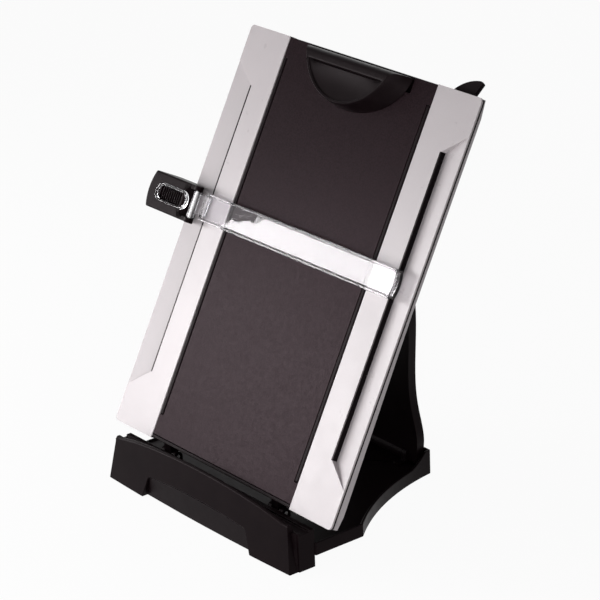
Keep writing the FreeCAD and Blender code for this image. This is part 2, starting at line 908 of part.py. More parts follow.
def side_skirt():
    """Silver skirt down the panel's right edge, deeper towards the bottom."""
    outer = panel_width / 2 - edge_strip_inset * 2
    front = wing_edge + edge_strip_depth
    body = prism_x([
        (front, core_inset),
        (front + skirt_foot_depth, core_inset),
        (front + skirt_top_depth, skirt_knee),
        (front + skirt_top_depth, panel_height - core_inset),
        (front, panel_height - core_inset),
    ], outer - skirt_thickness, outer)
    return body.common(panel_corners(core_inset, outer))


def cover_screw_places():
    """Where the back cover's screws stand, along its left wall and its foot."""
    side_x = -cover_half_width + cover_wall / 2
    step = (side_screw_high - side_screw_low) / (side_screw_count - 1)
    places = [(side_x, side_screw_low + step * i) for i in range(side_screw_count)]
    foot_z = cover_low + cover_wall / 2
    step = (foot_screw_last - foot_screw_first) / (foot_screw_count - 1)
    places += [(foot_screw_first + step * i, foot_z) for i in range(foot_screw_count)]
    return places


def panel_core():
    """Black chassis: front plate behind the pad, side walls, flanges behind the wings, hinge lugs."""
    top = panel_height - core_inset
    plate_back = core_front + core_front_thickness
    plate = box(-core_side_half, core_side_half, core_front, plate_back, core_inset, top)
    wall = box(core_side_half - core_wall, core_side_half, core_front, flange_back, core_inset, top)
    flange = box(core_side_half - core_wall, core_reach, flange_front, flange_back, core_inset, top)
    foot_rib = box(-core_side_half, core_side_half, core_front, flange_back,
                   cover_low, cover_low + cover_wall)
    body = plate.fuse(pair(wall.fuse(flange))).fuse(foot_rib)
    lug_x = hinge_lug_spacing / 2 - hinge_lug_width / 2
    arm = prism_x([
        (core_front, core_inset),
        (core_front, cover_low - seam_gap),
        (flange_back, cover_low - seam_gap),
        (hinge_back + hinge_lug_radius, -hinge_below),
        (hinge_back - hinge_lug_radius, -hinge_below),
    ], lug_x, lug_x + hinge_lug_width)
    eye = rod(Vector(lug_x, hinge_back, -hinge_below), X, hinge_lug_radius, hinge_lug_width)
    body = body.fuse(pair(arm.fuse(eye)))
    bore = rod(Vector(lug_x - cut_over, hinge_back, -hinge_below), X, hinge_pin_radius + pin_gap,
               hinge_lug_width + 2 * cut_over)
    body = body.cut(pair(bore))
    recess = box(-clip_recess_width / 2, clip_recess_width / 2, core_front - cut_over,
                 core_front + clip_recess_depth, clip_recess_low, panel_height + cut_over)
    body = body.cut(recess)
    lug_x = clip_lug_spacing / 2 - clip_lug_width / 2
    lug = box(lug_x, lug_x + clip_lug_width, -clip_axis_front, plate_back,
              clip_axis_height - clip_lug_radius, clip_axis_height + clip_lug_radius)
    lug_eye = Vector(lug_x, -clip_axis_front, clip_axis_height)
    lug = lug.fuse(rod(lug_eye, X, clip_lug_radius, clip_lug_width))
    body = body.fuse(pair(lug)).cut(clip_pin())
    for x, z in cover_screw_places():
        body = body.cut(rod(Vector(x, plate_back, z), Y, cover_screw_radius, cover_back))
    return body.removeSplitter()


def centre_pad():
    """Grained pad that the sheets lie on, wider above the rails and open behind the clip."""
    wide = core_side_half
    narrow = wide - rail_width
    body = prism_y([
        (-wide, pad_low),
        (wide, pad_low),
        (wide, rail_low),
        (narrow, rail_low),
        (narrow, rail_high),
        (wide, rail_high),
        (wide, panel_height - core_inset),
        (-wide, panel_height - core_inset),
        (-wide, rail_high),
        (-narrow, rail_high),
        (-narrow, rail_low),
        (-wide, rail_low),
    ], pad_front, pad_front + pad_thickness)
    recess = box(-clip_recess_width / 2, clip_recess_width / 2, -cut_over, core_front + cut_over,
                 clip_recess_low, panel_height + cut_over)
    window = box(-clip_window_width / 2, clip_window_width / 2, -cut_over, core_front + cut_over,
                 clip_window_low, clip_recess_low + cut_over)
    return body.cut(recess).cut(window)


def side_rail():
    """Raised black rail beside the pad, on the right."""
    return box(core_side_half - rail_width, core_side_half, pad_front - rail_proud, core_front,
               rail_low, rail_high)


def pad_bar():
    """Thin bar along the pad's bottom edge."""
    return box(-core_side_half, core_side_half, pad_front - pad_bar_proud, core_front,
               pad_low - pad_bar_height, pad_low)


def leg_rack():
    """Toothed rack on the back cover, right-hand one, where the leg's bar is held."""
    x0 = rack_spacing / 2 - rack_width / 2
    body = box(x0, x0 + rack_width, cover_back, cover_back + rack_height, rack_low, rack_high)
    tooth_radius = leg_bar_behind - cover_back - rack_height + rack_tooth_depth
    for i in range(rack_tooth_count):
        place = Vector(x0 - cut_over, leg_bar_behind, leg_bar_up - rack_pitch * i)
        body = body.cut(rod(place, X, tooth_radius, rack_width + 2 * cut_over))
    return body


def back_cover():
    """Black rear shell, open at its right side and top for the memo board."""
    outer = box(-cover_half_width, cover_half_width, flange_back, cover_back, cover_low, cover_high)
    outer = round_edges(outer, panel_corner, along(Y))
    slot = box(-cover_half_width + cover_wall, cover_half_width + cut_over, flange_back - cut_over,
               flange_back + slot_depth, cover_low + cover_wall, cover_high + cut_over)
    body = outer.cut(slot)
    step = (rack_low - cover_low - cover_wall) / (cover_rib_count + 1)
    for i in range(cover_rib_count):
        z = cover_low + cover_wall + step * (i + 1)
        groove = box(-cover_half_width + cover_wall * 2, cover_half_width - cover_wall * 2,
                     cover_back - cover_rib_depth / 2, cover_back + cut_over, z, z + cover_rib_width)
        body = body.cut(groove)
    for x, z in cover_screw_places():
        body = body.cut(rod(Vector(x, flange_back - cut_over, z), Y, cover_screw_radius, cover_back))
    return body


def cover_screws():
    """Screws that hold the back cover to the chassis."""
    screws = []
    for x, z in cover_screw_places():
        start = core_front + core_front_thickness
        shank = rod(Vector(x, start, z), Y, cover_screw_radius, cover_back - start)
        if abs(x) > core_side_half:
            shank = rod(Vector(x, flange_front, z), Y, cover_screw_radius, cover_back - flange_front)
        head = rod(Vector(x, cover_back, z), Y, cover_screw_head_radius, cover_screw_head)
        screws.append(shank.fuse(head))
    return Part.makeCompound(screws)


def memo_board():
    """White board that slides out to the right from behind the panel."""
    body = box(-memo_left, memo_right, memo_front, memo_back, memo_low, panel_height)
    return round_edges(body, panel_corner, along(Y)).cut(memo_tab())


def memo_edge():
    """Grey cap on the board's right edge."""
    return box(memo_right, memo_right + memo_edge_width,
               memo_front - memo_edge_proud, memo_back + memo_edge_proud,
               memo_low + panel_corner, panel_height - panel_corner - tab_root)


def memo_tab():
    """Black finger tab, shaped like a fin, at the board's top right corner."""
    y = (memo_front + memo_back - tab_thickness) / 2
    root = panel_height - tab_root
    left = Vector(tab_left, y, panel_height + core_inset)
    peak = Vector(tab_peak, y, panel_height + tab_height)
    tip = Vector(tab_right, y, panel_height + tab_height - tab_tip_drop)
    heel = Vector(tab_right - tab_notch, y, panel_height + core_inset)
    swell_up = tab_height * tab_swell_share
    swell = Vector((tab_left + tab_peak) / 2 - core_inset, y, panel_height + swell_up)
    edges = [
        arc(left, swell, peak),
        line(peak, tip),
        line(tip, heel),
        line(heel, Vector(tab_right - tab_notch, y, root)),
        line(Vector(tab_right - tab_notch, y, root), Vector(tab_left, y, root)),
        line(Vector(tab_left, y, root), left),
    ]
    return face_of(edges).extrude(Vector(0, tab_thickness, 0))


# Memo clip

def clip_round(radius, rise, drop, y):
    """The clip's D shape at a depth: a round lower edge closed by a straight top.

    The round edge's centre stands above the panel's top edge by the rise, and the straight top
    lies below that edge by the drop.
    """
    half = math.sqrt(radius * radius - (rise + drop) * (rise + drop))
    left = Vector(-half, y, panel_height - drop)
    right = Vector(half, y, panel_height - drop)
    bottom = Vector(0, y, panel_height + rise - radius)
    return Part.Wire([arc(left, bottom, right), line(right, left)])


def clip_foot(inset, y):
    """The foot's D shape, less an inset: the lower part of a flat oval under a straight top."""
    half_width = clip_foot_half_width - inset
    half_height = clip_foot_half_height - inset
    drop = clip_foot_drop + inset
    share = (clip_foot_rise + drop) / half_height
    half = half_width * math.sqrt(1 - share * share)
    left = Vector(-half, y, panel_height - drop)
    right = Vector(half, y, panel_height - drop)
    middle = Vector(0, y, panel_height + clip_foot_rise)
    oval = Part.Ellipse(middle - X * half_width, middle - Z * half_height, middle)
    curve = Part.Arc(oval, oval.parameter(left), oval.parameter(right))
    return Part.Wire([curve.toShape(), line(right, left)])


def clip_shoulder(inset, y):
    """The outline between the clip's flank and its crown, less an inset."""
    return clip_round(clip_shoulder_radius - inset, clip_shoulder_rise, clip_shoulder_drop + inset, y)


def clip_jaw():
    """Raised hollow clip, dished in front, with knuckles for its pin."""
    foot_y = pad_front - clip_foot_gap
    shoulder_y = -clip_shoulder_front
    roof_y = -clip_crown_front + clip_roof
    crown = clip_round(clip_crown_radius, clip_crown_rise, clip_crown_drop, -clip_crown_front)
    body = Part.makeLoft([clip_foot(0, foot_y), clip_shoulder(0, shoulder_y)], True, True)
    body = body.fuse(Part.makeLoft([clip_shoulder(0, shoulder_y), crown], True, True))
    hollow = [clip_foot(clip_wall, foot_y), clip_shoulder(clip_wall, roof_y)]
    body = body.cut(Part.makeLoft(hollow, True, True))
    dish_drop = clip_chord_drop + clip_chord_width * 2
    dish_wire = clip_round(clip_dish_radius, clip_dish_rise, dish_drop, -clip_crown_front - cut_over)
    dish = Part.Face(dish_wire).extrude(Vector(0, cut_over + clip_dish_depth, 0))
    chord = box(-clip_chord_length / 2, clip_chord_length / 2, -clip_crown_front - cut_over,
                -clip_crown_front + clip_chord_depth, clip_chord - clip_chord_width / 2,
                clip_chord + clip_chord_width / 2)
    body = body.cut(dish).cut(chord)
    x0 = clip_lug_spacing / 2 + clip_lug_width / 2 + slide_gap
    knuckle = box(x0, x0 + clip_knuckle_width, roof_y, -clip_axis_front,
                  clip_axis_height - clip_knuckle_radius, clip_axis_height + clip_knuckle_radius)
    knuckle_end = Vector(x0, -clip_axis_front, clip_axis_height)
    knuckle = knuckle.fuse(rod(knuckle_end, X, clip_knuckle_radius, clip_knuckle_width))
    bore = rod(Vector(-clip_pin_length / 2 - cut_over, -clip_axis_front, clip_axis_height), X,
               clip_pin_radius + pin_gap, clip_pin_length + 2 * cut_over)
    return body.fuse(pair(knuckle)).cut(bore).cut(clip_grip()).removeSplitter()


def clip_grip():
    """Rubber strip let into the clip's lower edge, where it presses on the pad."""
    foot_y = pad_front - clip_foot_gap
    outer = Part.Face(clip_foot(clip_wall / 2, foot_y))
    inner = Part.Face(clip_foot(clip_wall / 2 + grip_band, foot_y))
    outer = outer.extrude(Vector(0, -grip_thickness, 0))
    inner = inner.extrude(Vector(0, -grip_thickness, 0))
    below_top = box(-clip_foot_half_width, clip_foot_half_width, -clip_crown_front, pad_front, 0, grip_top)
    return outer.cut(inner).common(below_top)


def clip_pin():
    """Pin that the clip tips on."""
    start = Vector(-clip_pin_length / 2, -clip_axis_front, clip_axis_height)
    return rod(start, X, clip_pin_radius, clip_pin_length)


def clip_spring():
    """Spring wound round the pin between the lugs, with a leg that bears on the chassis."""
    half = clip_spring_length / 2
    start = Vector(-half, -clip_axis_front, clip_axis_height)
    coil = rod(start, X, clip_spring_radius, clip_spring_length).cut(clip_pin())
    wire = clip_spring_radius - clip_pin_radius
    leg = box(-half, -half + wire, -clip_axis_front, core_front + clip_recess_depth,
              clip_axis_height + clip_pin_radius, clip_axis_height + clip_spring_radius)
    return coil.fuse(leg).removeSplitter()


# Line guide

def guide_slider():
    """Black slider that hooks round the panel's left edge, with ears for the bar's pin."""
    y0 = -slider_front
    low_left = Vector(-slider_left, y0, slider_low)
    high_left = Vector(-slider_left, y0, slider_high)
    low_right = Vector(-slider_right, y0, slider_low)
    high_right = Vector(-slider_right, y0, slider_high)
    bulge = Vector(-slider_left - slider_bulge, y0, guide_height)
    edges = [line(low_left, low_right), line(low_right, high_right), line(high_right, high_left)]
    edges.append(arc(high_left, bulge, low_left))
    face = face_of(edges)
    body = face.extrude(Vector(0, slider_front + gib_front, 0))
    channel = box(-panel_width / 2 - slider_wall_outside, 0, -slide_gap, gib_front + cut_over,
                  slider_low - cut_over, slider_high + cut_over)
    body = body.cut(channel)
    slot_half = slider_slot_height / 2
    slot = box(-slider_slot_left, -slider_slot_right, y0 - cut_over, y0 + slider_slot_depth,
               guide_height - slot_half, guide_height + slot_half)
    body = body.cut(slot)
    step = (slider_slot_left - slider_slot_right) / (slider_rib_count + 1)
    for i in range(slider_rib_count):
        x = -slider_slot_left + step * (i + 1) - slider_rib_width / 2
        body = body.fuse(box(x, x + slider_rib_width, y0 + slider_slot_depth - slider_rib_height,
                             y0 + slider_slot_depth, guide_height - slot_half, guide_height + slot_half))
    for z in (slider_low, slider_high - guide_ear_height):
        ear = rod(Vector(-guide_axis_side, -guide_axis_front, z), Z, guide_ear_radius, guide_ear_height)
        arm = box(-slider_right, -guide_axis_side, -slider_front, -guide_axis_front + guide_ear_radius,
                  z, z + guide_ear_height)
        body = body.fuse(ear).fuse(arm)
    body = body.cut(guide_pin())
    for place in gib_screw_places():
        body = body.cut(rod(place, -Y, gib_screw_radius, gib_screw_length))
    return body.removeSplitter()


def gib_screw_places():
    """Where the two screws enter the slider from behind."""
    x = -slider_left + gib_screw_from_left
    half = gib_screw_spacing / 2
    return [Vector(x, gib_front + gib_thickness, guide_height + z) for z in (-half, half)]


def slider_gib():
    """Plate screwed to the slider's back, which keeps it on the panel's edge."""
    body = box(-slider_left, -gib_reach, gib_front, gib_front + gib_thickness, slider_low, slider_high)
    body = round_edges(body, panel_corner, along(Y))
    for place in gib_screw_places():
        body = body.cut(rod(place + Y * cut_over, -Y, gib_screw_radius, gib_thickness + 2 * cut_over))
    return body


def gib_screws():
    """Two screws through the gib."""
    screws = []
    for place in gib_screw_places():
        shank = rod(place, -Y, gib_screw_radius, gib_screw_length)
        screws.append(shank.fuse(rod(place, Y, gib_screw_head_radius, gib_screw_head)))
    return Part.makeCompound(screws)


def stadium(left, right, height, y, depth):
    """A block with round ends, seen from the front."""
    radius = height / 2
    low_left = Vector(left + radius, y, guide_height - radius)
    low_right = Vector(right - radius, y, guide_height - radius)
    high_right = Vector(right - radius, y, guide_height + radius)
    high_left = Vector(left + radius, y, guide_height + radius)
    edges = [
        line(low_left, low_right),
        arc(low_right, Vector(right, y, guide_height), high_right),
        line(high_right, high_left),
        arc(high_left, Vector(left, y, guide_height), low_left),
    ]
    return face_of(edges).extrude(Vector(0, depth, 0))


def guide_loop():
    """Clear loop on the slider's front, round the ribbed slot."""
    y0 = -slider_front - loop_depth
    outer = stadium(-loop_left, -loop_right, loop_height, y0, loop_depth)
    inner = stadium(-loop_left + loop_band, -loop_right - loop_band, loop_height - 2 * loop_band,
                    y0 - cut_over, loop_depth + 2 * cut_over)
    return outer.cut(inner)


def guide_pin():
    """Pin through the slider's ears and the bar's barrel."""
    start = Vector(-guide_axis_side, -guide_axis_front, slider_low)
    return rod(start, Z, guide_pin_radius, slider_high - slider_low)


def guide_bar():
    """Clear trough-shaped bar with raised rims, closed at its right end, on a barrel at its left."""
    back = -bar_back
    web_front = back - bar_web
    section = [
        (back, bar_low),
        (back, bar_high),
        (-bar_rim_front, bar_high),
        (-bar_rim_front, bar_high - bar_rim),
        (web_front, bar_high - bar_rim),
        (web_front, bar_low + bar_rim),
        (-bar_rim_front, bar_low + bar_rim),
        (-bar_rim_front, bar_low),
    ]
    body = prism_x(section, -bar_left, bar_right)
    body = body.fuse(box(bar_right - bar_rim, bar_right, -bar_rim_front, back, bar_low, bar_high))
    body = round_edges(body, bar_rim / 2, lambda a, b: along(Y)(a, b) and a.x > bar_right - slide_gap)
    ear_clear = guide_ear_height + slide_gap
    low = slider_low + ear_clear
    high = slider_high - ear_clear
    barrel = rod(Vector(-guide_axis_side, -guide_axis_front, low), Z, guide_barrel_radius, high - low)
    link = prism_z([
        (-guide_axis_side, -guide_axis_front - guide_barrel_radius / 2),
        (-guide_axis_side + guide_barrel_radius / 2, -guide_axis_front + guide_barrel_radius / 2),
        (-bar_left, back - bar_web / 2),
        (-bar_left + bar_link_reach / 2, back),
        (-bar_left + bar_link_reach, web_front),
    ], bar_low + bar_rim, bar_high - bar_rim)
    bore = rod(Vector(-guide_axis_side, -guide_axis_front, low - cut_over), Z, guide_pin_radius + pin_gap,
               high - low + 2 * cut_over)
    return body.fuse(link).fuse(barrel).cut(bore).removeSplitter()


# Easel leg

def leg_outline(inset, y0, y1, low, high):
    """The hourglass leg seen from the front, less an inset at its sides."""
    side = [
        (leg_foot_half, low),
        (leg_sole_half, leg_sole_up),
        (leg_ankle_half, leg_ankle_up),
        (leg_waist_half, leg_waist_up),
        (leg_knee_half, leg_knee_up),
        (leg_calf_half, leg_calf_up),
        (leg_hip_half, leg_hip_up),
        (leg_shoulder_half, leg_shoulder_up),
    ]
    right = Part.BSplineCurve()
    right.interpolate([Vector(x - inset, y0, z) for x, z in side])
    left = Part.BSplineCurve()
    left.interpolate([Vector(inset - x, y0, z) for x, z in reversed(side)])
    shoulder = Vector(leg_shoulder_half - inset, y0, leg_shoulder_up)
    corner = Vector(leg_top_half - inset, y0, high)
    foot = Vector(leg_foot_half - inset, y0, low)
    edges = [
        right.toShape(),
        line(shoulder, corner),
        line(corner, Vector(-corner.x, y0, high)),
        line(Vector(-corner.x, y0, high), Vector(-shoulder.x, y0, leg_shoulder_up)),
        left.toShape(),
        line(Vector(-foot.x, y0, low), foot),
    ]
    return face_of(edges).extrude(Vector(0, y1 - y0, 0))


def easel_leg():
    """Moulded leg: a front skin with flanges and ribs behind, a barrel at its foot and eyes on top."""
    top = leg_length - leg_top_below_bar
    body = leg_outline(0, -leg_front, leg_back, -leg_foot_below, top)
    hollow = leg_outline(leg_flange, -leg_front + leg_skin, leg_back + cut_over,
                         leg_ankle_up, top - leg_flange)
    body = body.cut(hollow)
    for up in (leg_waist_up, leg_calf_up, leg_hip_up, leg_shoulder_up):
        rib = box(-leg_waist_half + leg_flange / 2, leg_waist_half - leg_flange / 2,
                  -leg_front, leg_back, up, up + leg_rib_width)
        body = body.fuse(rib)
    half = leg_barrel_length / 2
    body = body.fuse(rod(Vector(-half, 0, 0), X, leg_barrel_radius, leg_barrel_length))
    notch = box(half, half + leg_ear_width + 2 * leg_ear_gap, -leg_front - cut_over, leg_back + cut_over,
                -leg_foot_below - cut_over, leg_ear_radius + shade_gap)
    body = body.cut(pair(notch))
    body = body.cut(rod(Vector(-leg_foot_half, 0, 0), X, leg_pin_radius + pin_gap, 2 * leg_foot_half))
    eye_x = leg_top_half - leg_eye_width - leg_eye_radius
    for x in (eye_x, leg_inner_eye_start):
        eye = rod(Vector(x, 0, leg_length), X, leg_eye_radius, leg_eye_width)
        web = box(x, x + leg_eye_width, -leg_front, leg_back, top - leg_flange, leg_length)
        body = body.fuse(pair(eye.fuse(web)))
    body = body.cut(rod(Vector(-leg_bar_length, 0, leg_length), X, leg_bar_radius, 2 * leg_bar_length))
    return body.removeSplitter()


def leg_cross_bar():
    """Steel bar along the leg's top, which the racks hold."""
    return rod(Vector(-leg_bar_length / 2, 0, leg_length), X, leg_bar_radius, leg_bar_length)


# Write every node
save("front_ledge", front_ledge())
save("base_tray", base_tray())
save("bottom_plate", bottom_plate())
save("base_screws", base_screws())
save("front_foot", front_foot())
save("rear_feet", rear_feet())
save("panel_hinge_pins", both_sides(panel_hinge_pin()))
save("panel_hinge_brackets", both_sides(panel_hinge_bracket()))
save("leg_brackets", both_sides(leg_bracket()))
save("leg_pivot_pin", leg_pin())
save("drawer_runner_right", drawer_runner())
save("drawer_runner_left", mirrored(drawer_runner()))
save("drawer_tray", drawer_tray())
save("drawer_front", drawer_front())

sided = {
    "wing": wing(),
    "wing_inlay": wing_inlay(),
    "edge_strip": edge_strip(),
    "side_skirt": side_skirt(),
    "side_rail": side_rail(),
    "leg_rack": leg_rack(),
}
for name, shape in sided.items():
    save(name + "_right", on_panel(shape))
    save(name + "_left", on_panel(mirrored(shape)))

panel_pieces = {
    "panel_core": panel_core(),
    "centre_pad": centre_pad(),
    "pad_bar": pad_bar(),
    "back_cover": back_cover(),
    "cover_screws": cover_screws(),
    "memo_board": memo_board(),
    "memo_edge": memo_edge(),
    "memo_tab": memo_tab(),
    "clip_jaw": clip_jaw(),
    "clip_grip": clip_grip(),
    "clip_pin": clip_pin(),
    "clip_spring": clip_spring(),
    "guide_slider": guide_slider(),
    "slider_gib": slider_gib(),
    "gib_screws": gib_screws(),
    "guide_loop": guide_loop(),
    "guide_pin": guide_pin(),
    "guide_bar": guide_bar(),
}
for name, shape in panel_pieces.items():
    save(name, on_panel(shape))

save("easel_leg", on_leg(easel_leg()))
save("leg_cross_bar", on_leg(leg_cross_bar()))
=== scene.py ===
"""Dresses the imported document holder: detailed surfaces, moulded finishes, studio and camera.

Lengths in the classes are millimetres; a Frame turns them into Blender's metres. A panel point is
(across, behind, up): across to the reader's right, behind the panel's front face, up its slope.
"""

from __future__ import annotations

import json
import logging
import math
from collections.abc import Sequence
from dataclasses import dataclass, field
from enum import Enum

import bmesh
import bpy
import numpy as np
from mathutils import Matrix, Quaternion, Vector

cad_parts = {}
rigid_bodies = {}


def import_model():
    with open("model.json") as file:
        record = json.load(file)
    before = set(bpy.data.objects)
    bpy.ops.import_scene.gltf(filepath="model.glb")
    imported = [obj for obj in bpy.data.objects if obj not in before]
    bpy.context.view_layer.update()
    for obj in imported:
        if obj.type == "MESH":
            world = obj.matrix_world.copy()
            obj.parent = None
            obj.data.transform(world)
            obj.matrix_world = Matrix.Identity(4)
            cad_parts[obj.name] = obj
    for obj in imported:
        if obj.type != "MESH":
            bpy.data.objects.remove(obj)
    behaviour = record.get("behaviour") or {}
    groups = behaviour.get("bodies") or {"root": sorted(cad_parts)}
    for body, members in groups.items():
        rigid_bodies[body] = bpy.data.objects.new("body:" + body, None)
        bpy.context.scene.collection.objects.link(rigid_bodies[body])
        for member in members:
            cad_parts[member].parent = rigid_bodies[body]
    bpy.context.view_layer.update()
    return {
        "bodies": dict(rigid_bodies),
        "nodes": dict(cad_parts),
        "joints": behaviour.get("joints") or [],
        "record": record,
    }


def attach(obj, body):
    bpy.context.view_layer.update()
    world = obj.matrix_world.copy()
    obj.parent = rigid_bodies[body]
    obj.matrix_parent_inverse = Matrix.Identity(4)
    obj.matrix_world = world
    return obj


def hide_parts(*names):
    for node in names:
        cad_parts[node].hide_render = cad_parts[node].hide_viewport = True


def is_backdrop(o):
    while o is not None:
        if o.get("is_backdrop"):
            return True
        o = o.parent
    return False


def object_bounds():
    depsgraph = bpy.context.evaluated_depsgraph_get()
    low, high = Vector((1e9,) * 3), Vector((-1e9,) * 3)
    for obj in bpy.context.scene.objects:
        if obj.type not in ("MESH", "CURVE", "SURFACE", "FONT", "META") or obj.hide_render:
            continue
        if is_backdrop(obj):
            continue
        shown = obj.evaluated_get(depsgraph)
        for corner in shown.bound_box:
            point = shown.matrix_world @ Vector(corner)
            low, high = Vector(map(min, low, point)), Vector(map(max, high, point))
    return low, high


Array = np.ndarray
Colour = tuple[float, float, float]
Socket = bpy.types.NodeSocket

LOG = logging.getLogger("document_holder")
METRES = 0.001
TINY = 1e-9
REPEAT_GAP = 1e-5
MERGE_DISTANCE = 2e-6
PACKED_MERGE_DISTANCE = 5e-6
FLAT_ANGLE = math.radians(0.6)
SHARP_ANGLE = math.radians(38.0)
SHADING_WEIGHT = 80
TURN_POINTS = 40
HALF_ANGLES = (0.02, 1.5707)
LONGEST_TANGENT = 0.49
SHARPEST_DOT = -0.6
WARP_COARSENESS = 0.7


class Body(str, Enum):
    """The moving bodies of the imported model."""

    BASE = "base"
    DRAWER = "drawer"
    PANEL = "panel"
    CLIP = "clip"
    SLIDER = "slider"
    GUIDE = "guide"
    MEMO = "memo"
    LEG = "leg"


class Slot(str, Enum):
    """The record's material slots."""

    BLACK = "black_plastic"
    GLOSS = "black_gloss"
    SILVER = "silver_plastic"
    PAD = "grained_pad"
    CLEAR = "clear_plastic"
    WHITE = "white_board"
    GREY = "grey_plastic"
    STEEL = "steel"
    RUBBER = "rubber"


# Outlines and profiles


def unit(vectors: Array) -> Array:
    """Vectors along the last axis at length one; a vector of no length stays as it is."""
    return vectors / np.maximum(np.linalg.norm(vectors, axis=-1, keepdims=True), TINY)


def rounded(corners: Array, radii: float | Array, steps: int = 4) -> Array:
    """Round the corners of closed outlines with circular arcs.

    Each corner C becomes the rational quadratic curve from P0 over C to P2, where P0 and P2 lie a
    tangent length before and after C. With the sine of half the corner's angle as C's weight, that
    curve is a circle's arc. The tangent length is the radius over the tangent of that half angle.

    Args:
        corners: (..., K, 2) corner points in order.
        radii: One radius for all corners or one for each.
        steps: Straight pieces in each arc.

    Returns:
        (..., K * (steps + 1), 2) points in order.
    """
    before = np.roll(corners, 1, axis=-2) - corners
    after = np.roll(corners, -1, axis=-2) - corners
    shortest = np.minimum(np.linalg.norm(before, axis=-1), np.linalg.norm(after, axis=-1))
    before = unit(before)
    after = unit(after)
    half_angle = np.arccos(np.clip(np.sum(before * after, axis=-1), -1.0, 1.0)) / 2
    reach = np.broadcast_to(radii, half_angle.shape) / np.tan(np.clip(half_angle, *HALF_ANGLES))
    reach = np.minimum(reach, LONGEST_TANGENT * shortest)[..., None]
    share = np.linspace(0.0, 1.0, steps + 1)
    first = (1 - share) ** 2
    middle = 2 * share * (1 - share) * np.sin(half_angle)[..., None]
    last = share**2
    points = (
        first[:, None] * (corners + before * reach)[..., None, :]
        + middle[..., None] * corners[..., None, :]
        + last[:, None] * (corners + after * reach)[..., None, :]
    ) / (first + middle + last)[..., None]
    return points.reshape(*corners.shape[:-2], -1, 2)


def distinct(outline: Array) -> Array:
    """A closed (N, 2) outline without points that repeat the one before them."""
    gap = np.linalg.norm(outline - np.roll(outline, 1, axis=0), axis=1)
    return outline[gap > REPEAT_GAP]


def inward(outline: Array) -> Array:
    """The shift at each point of a closed outline that moves all its sides inwards by one.

    The outline runs counter-clockwise. The shift is the sum of the two sides' inward normals over
    one plus their dot product, which is the mitre of a picture frame.

    Args:
        outline: (N, 2) points of a closed outline, counter-clockwise.

    Returns:
        (N, 2) shifts.
    """
    ahead = unit(np.roll(outline, -1, axis=0) - outline)
    normal = np.stack((-ahead[:, 1], ahead[:, 0]), axis=1)
    behind = np.roll(normal, 1, axis=0)
    dot = np.sum(normal * behind, axis=1, keepdims=True)
    return (normal + behind) / (1 + np.maximum(dot, SHARPEST_DOT))


def arc_through(
    start: Sequence[float], middle: Sequence[float], end: Sequence[float], count: int
) -> Array:
    """Points on the circle through three points, from the first to the last.

    The centre is where the right bisectors of the two chords meet; the angle runs evenly.

    Args:
        start: The first point.
        middle: A point on the way.
        end: The last point.
        count: Number of points.

    Returns:
        (count, 2) points.
    """
    a, b, c = (np.array(p, float) for p in (start, middle, end))
    rows = 2 * np.array([b - a, c - b])
    centre = np.linalg.solve(rows, np.array([b @ b - a @ a, c @ c - b @ b]))
    angles = np.unwrap([math.atan2(*(p - centre)[::-1]) for p in (a, b, c)])
    turn = np.linspace(angles[0], angles[2], count)
    radius = np.linalg.norm(a - centre)
    return centre + radius * np.stack((np.cos(turn), np.sin(turn)), axis=1)


def softened(keys: Array, shares: Sequence[float], steps: int) -> Array:
    """Rows of key values joined by straight runs, each inner row rounded by a parabola.

    The parabola starts and ends a share of the run before and after its row, with the row as its
    middle control point.

    Args:
        keys: (K, M) rows of key values.
        shares: For each inner row, the share of its runs that the parabola takes.
        steps: Straight pieces in each parabola.

    Returns:
        Rows of M values, with the first and last key as they were.
    """
    share = np.array(shares)[:, None]
    before = keys[1:-1] + (keys[:-2] - keys[1:-1]) * share
    after = keys[1:-1] + (keys[2:] - keys[1:-1]) * share
    turn = np.linspace(0, 1, steps + 1)[:, None, None]
    curves = (1 - turn) ** 2 * before + 2 * turn * (1 - turn) * keys[1:-1] + turn**2 * after
    inner = curves.transpose(1, 0, 2).reshape(-1, keys.shape[1])
    return np.concatenate((keys[:1], inner, keys[-1:]))


def paired(outer: Array, inner: Array) -> tuple[Array, Array]:
    """Two outlines round one middle, point by point on the same rays out of it.

    The rays go through every point of either outline. Both must be seen whole from the middle.

    Args:
        outer: (N, 2) outer outline.
        inner: (M, 2) outline inside it.

    Returns:
        Both outlines with one point on each ray, in the same order.
    """
    middle = (inner.min(axis=0) + inner.max(axis=0)) / 2
    turns = [np.arctan2(*(ring - middle).T[::-1]) for ring in (outer, inner)]
    rays = np.unique(np.round(np.concatenate(turns), 4))
    period = 2 * math.pi
    return tuple(
        np.stack([np.interp(rays, turn, ring[:, i], period=period) for i in (0, 1)], axis=1)
        for ring, turn in zip((outer, inner), turns)
    )


def rectangle(x0: float, x1: float, y0: float, y1: float) -> Array:
    """The four corners of a rectangle, counter-clockwise."""
    return np.array([(x0, y0), (x1, y0), (x1, y1), (x0, y1)], float)


def quarter(radius: float, steps: int = 4) -> tuple[Array, Array]:
    """A quarter circle from its side to its top, as (distance in, distance below the top)."""
    turn = np.linspace(0.0, math.pi / 2, steps + 1)
    return radius * (1 - np.cos(turn)), radius * (1 - np.sin(turn))


def around(centre: tuple[float, float], reach: Array) -> Array:
    """Circles of the (L,) radii in reach round one centre, as (L, TURN_POINTS, 2) points."""
    turn = np.linspace(0, 2 * math.pi, TURN_POINTS, endpoint=False)
    ring = np.stack((np.cos(turn), np.sin(turn)), axis=1)
    return centre + reach[:, None, None] * ring


# Frames


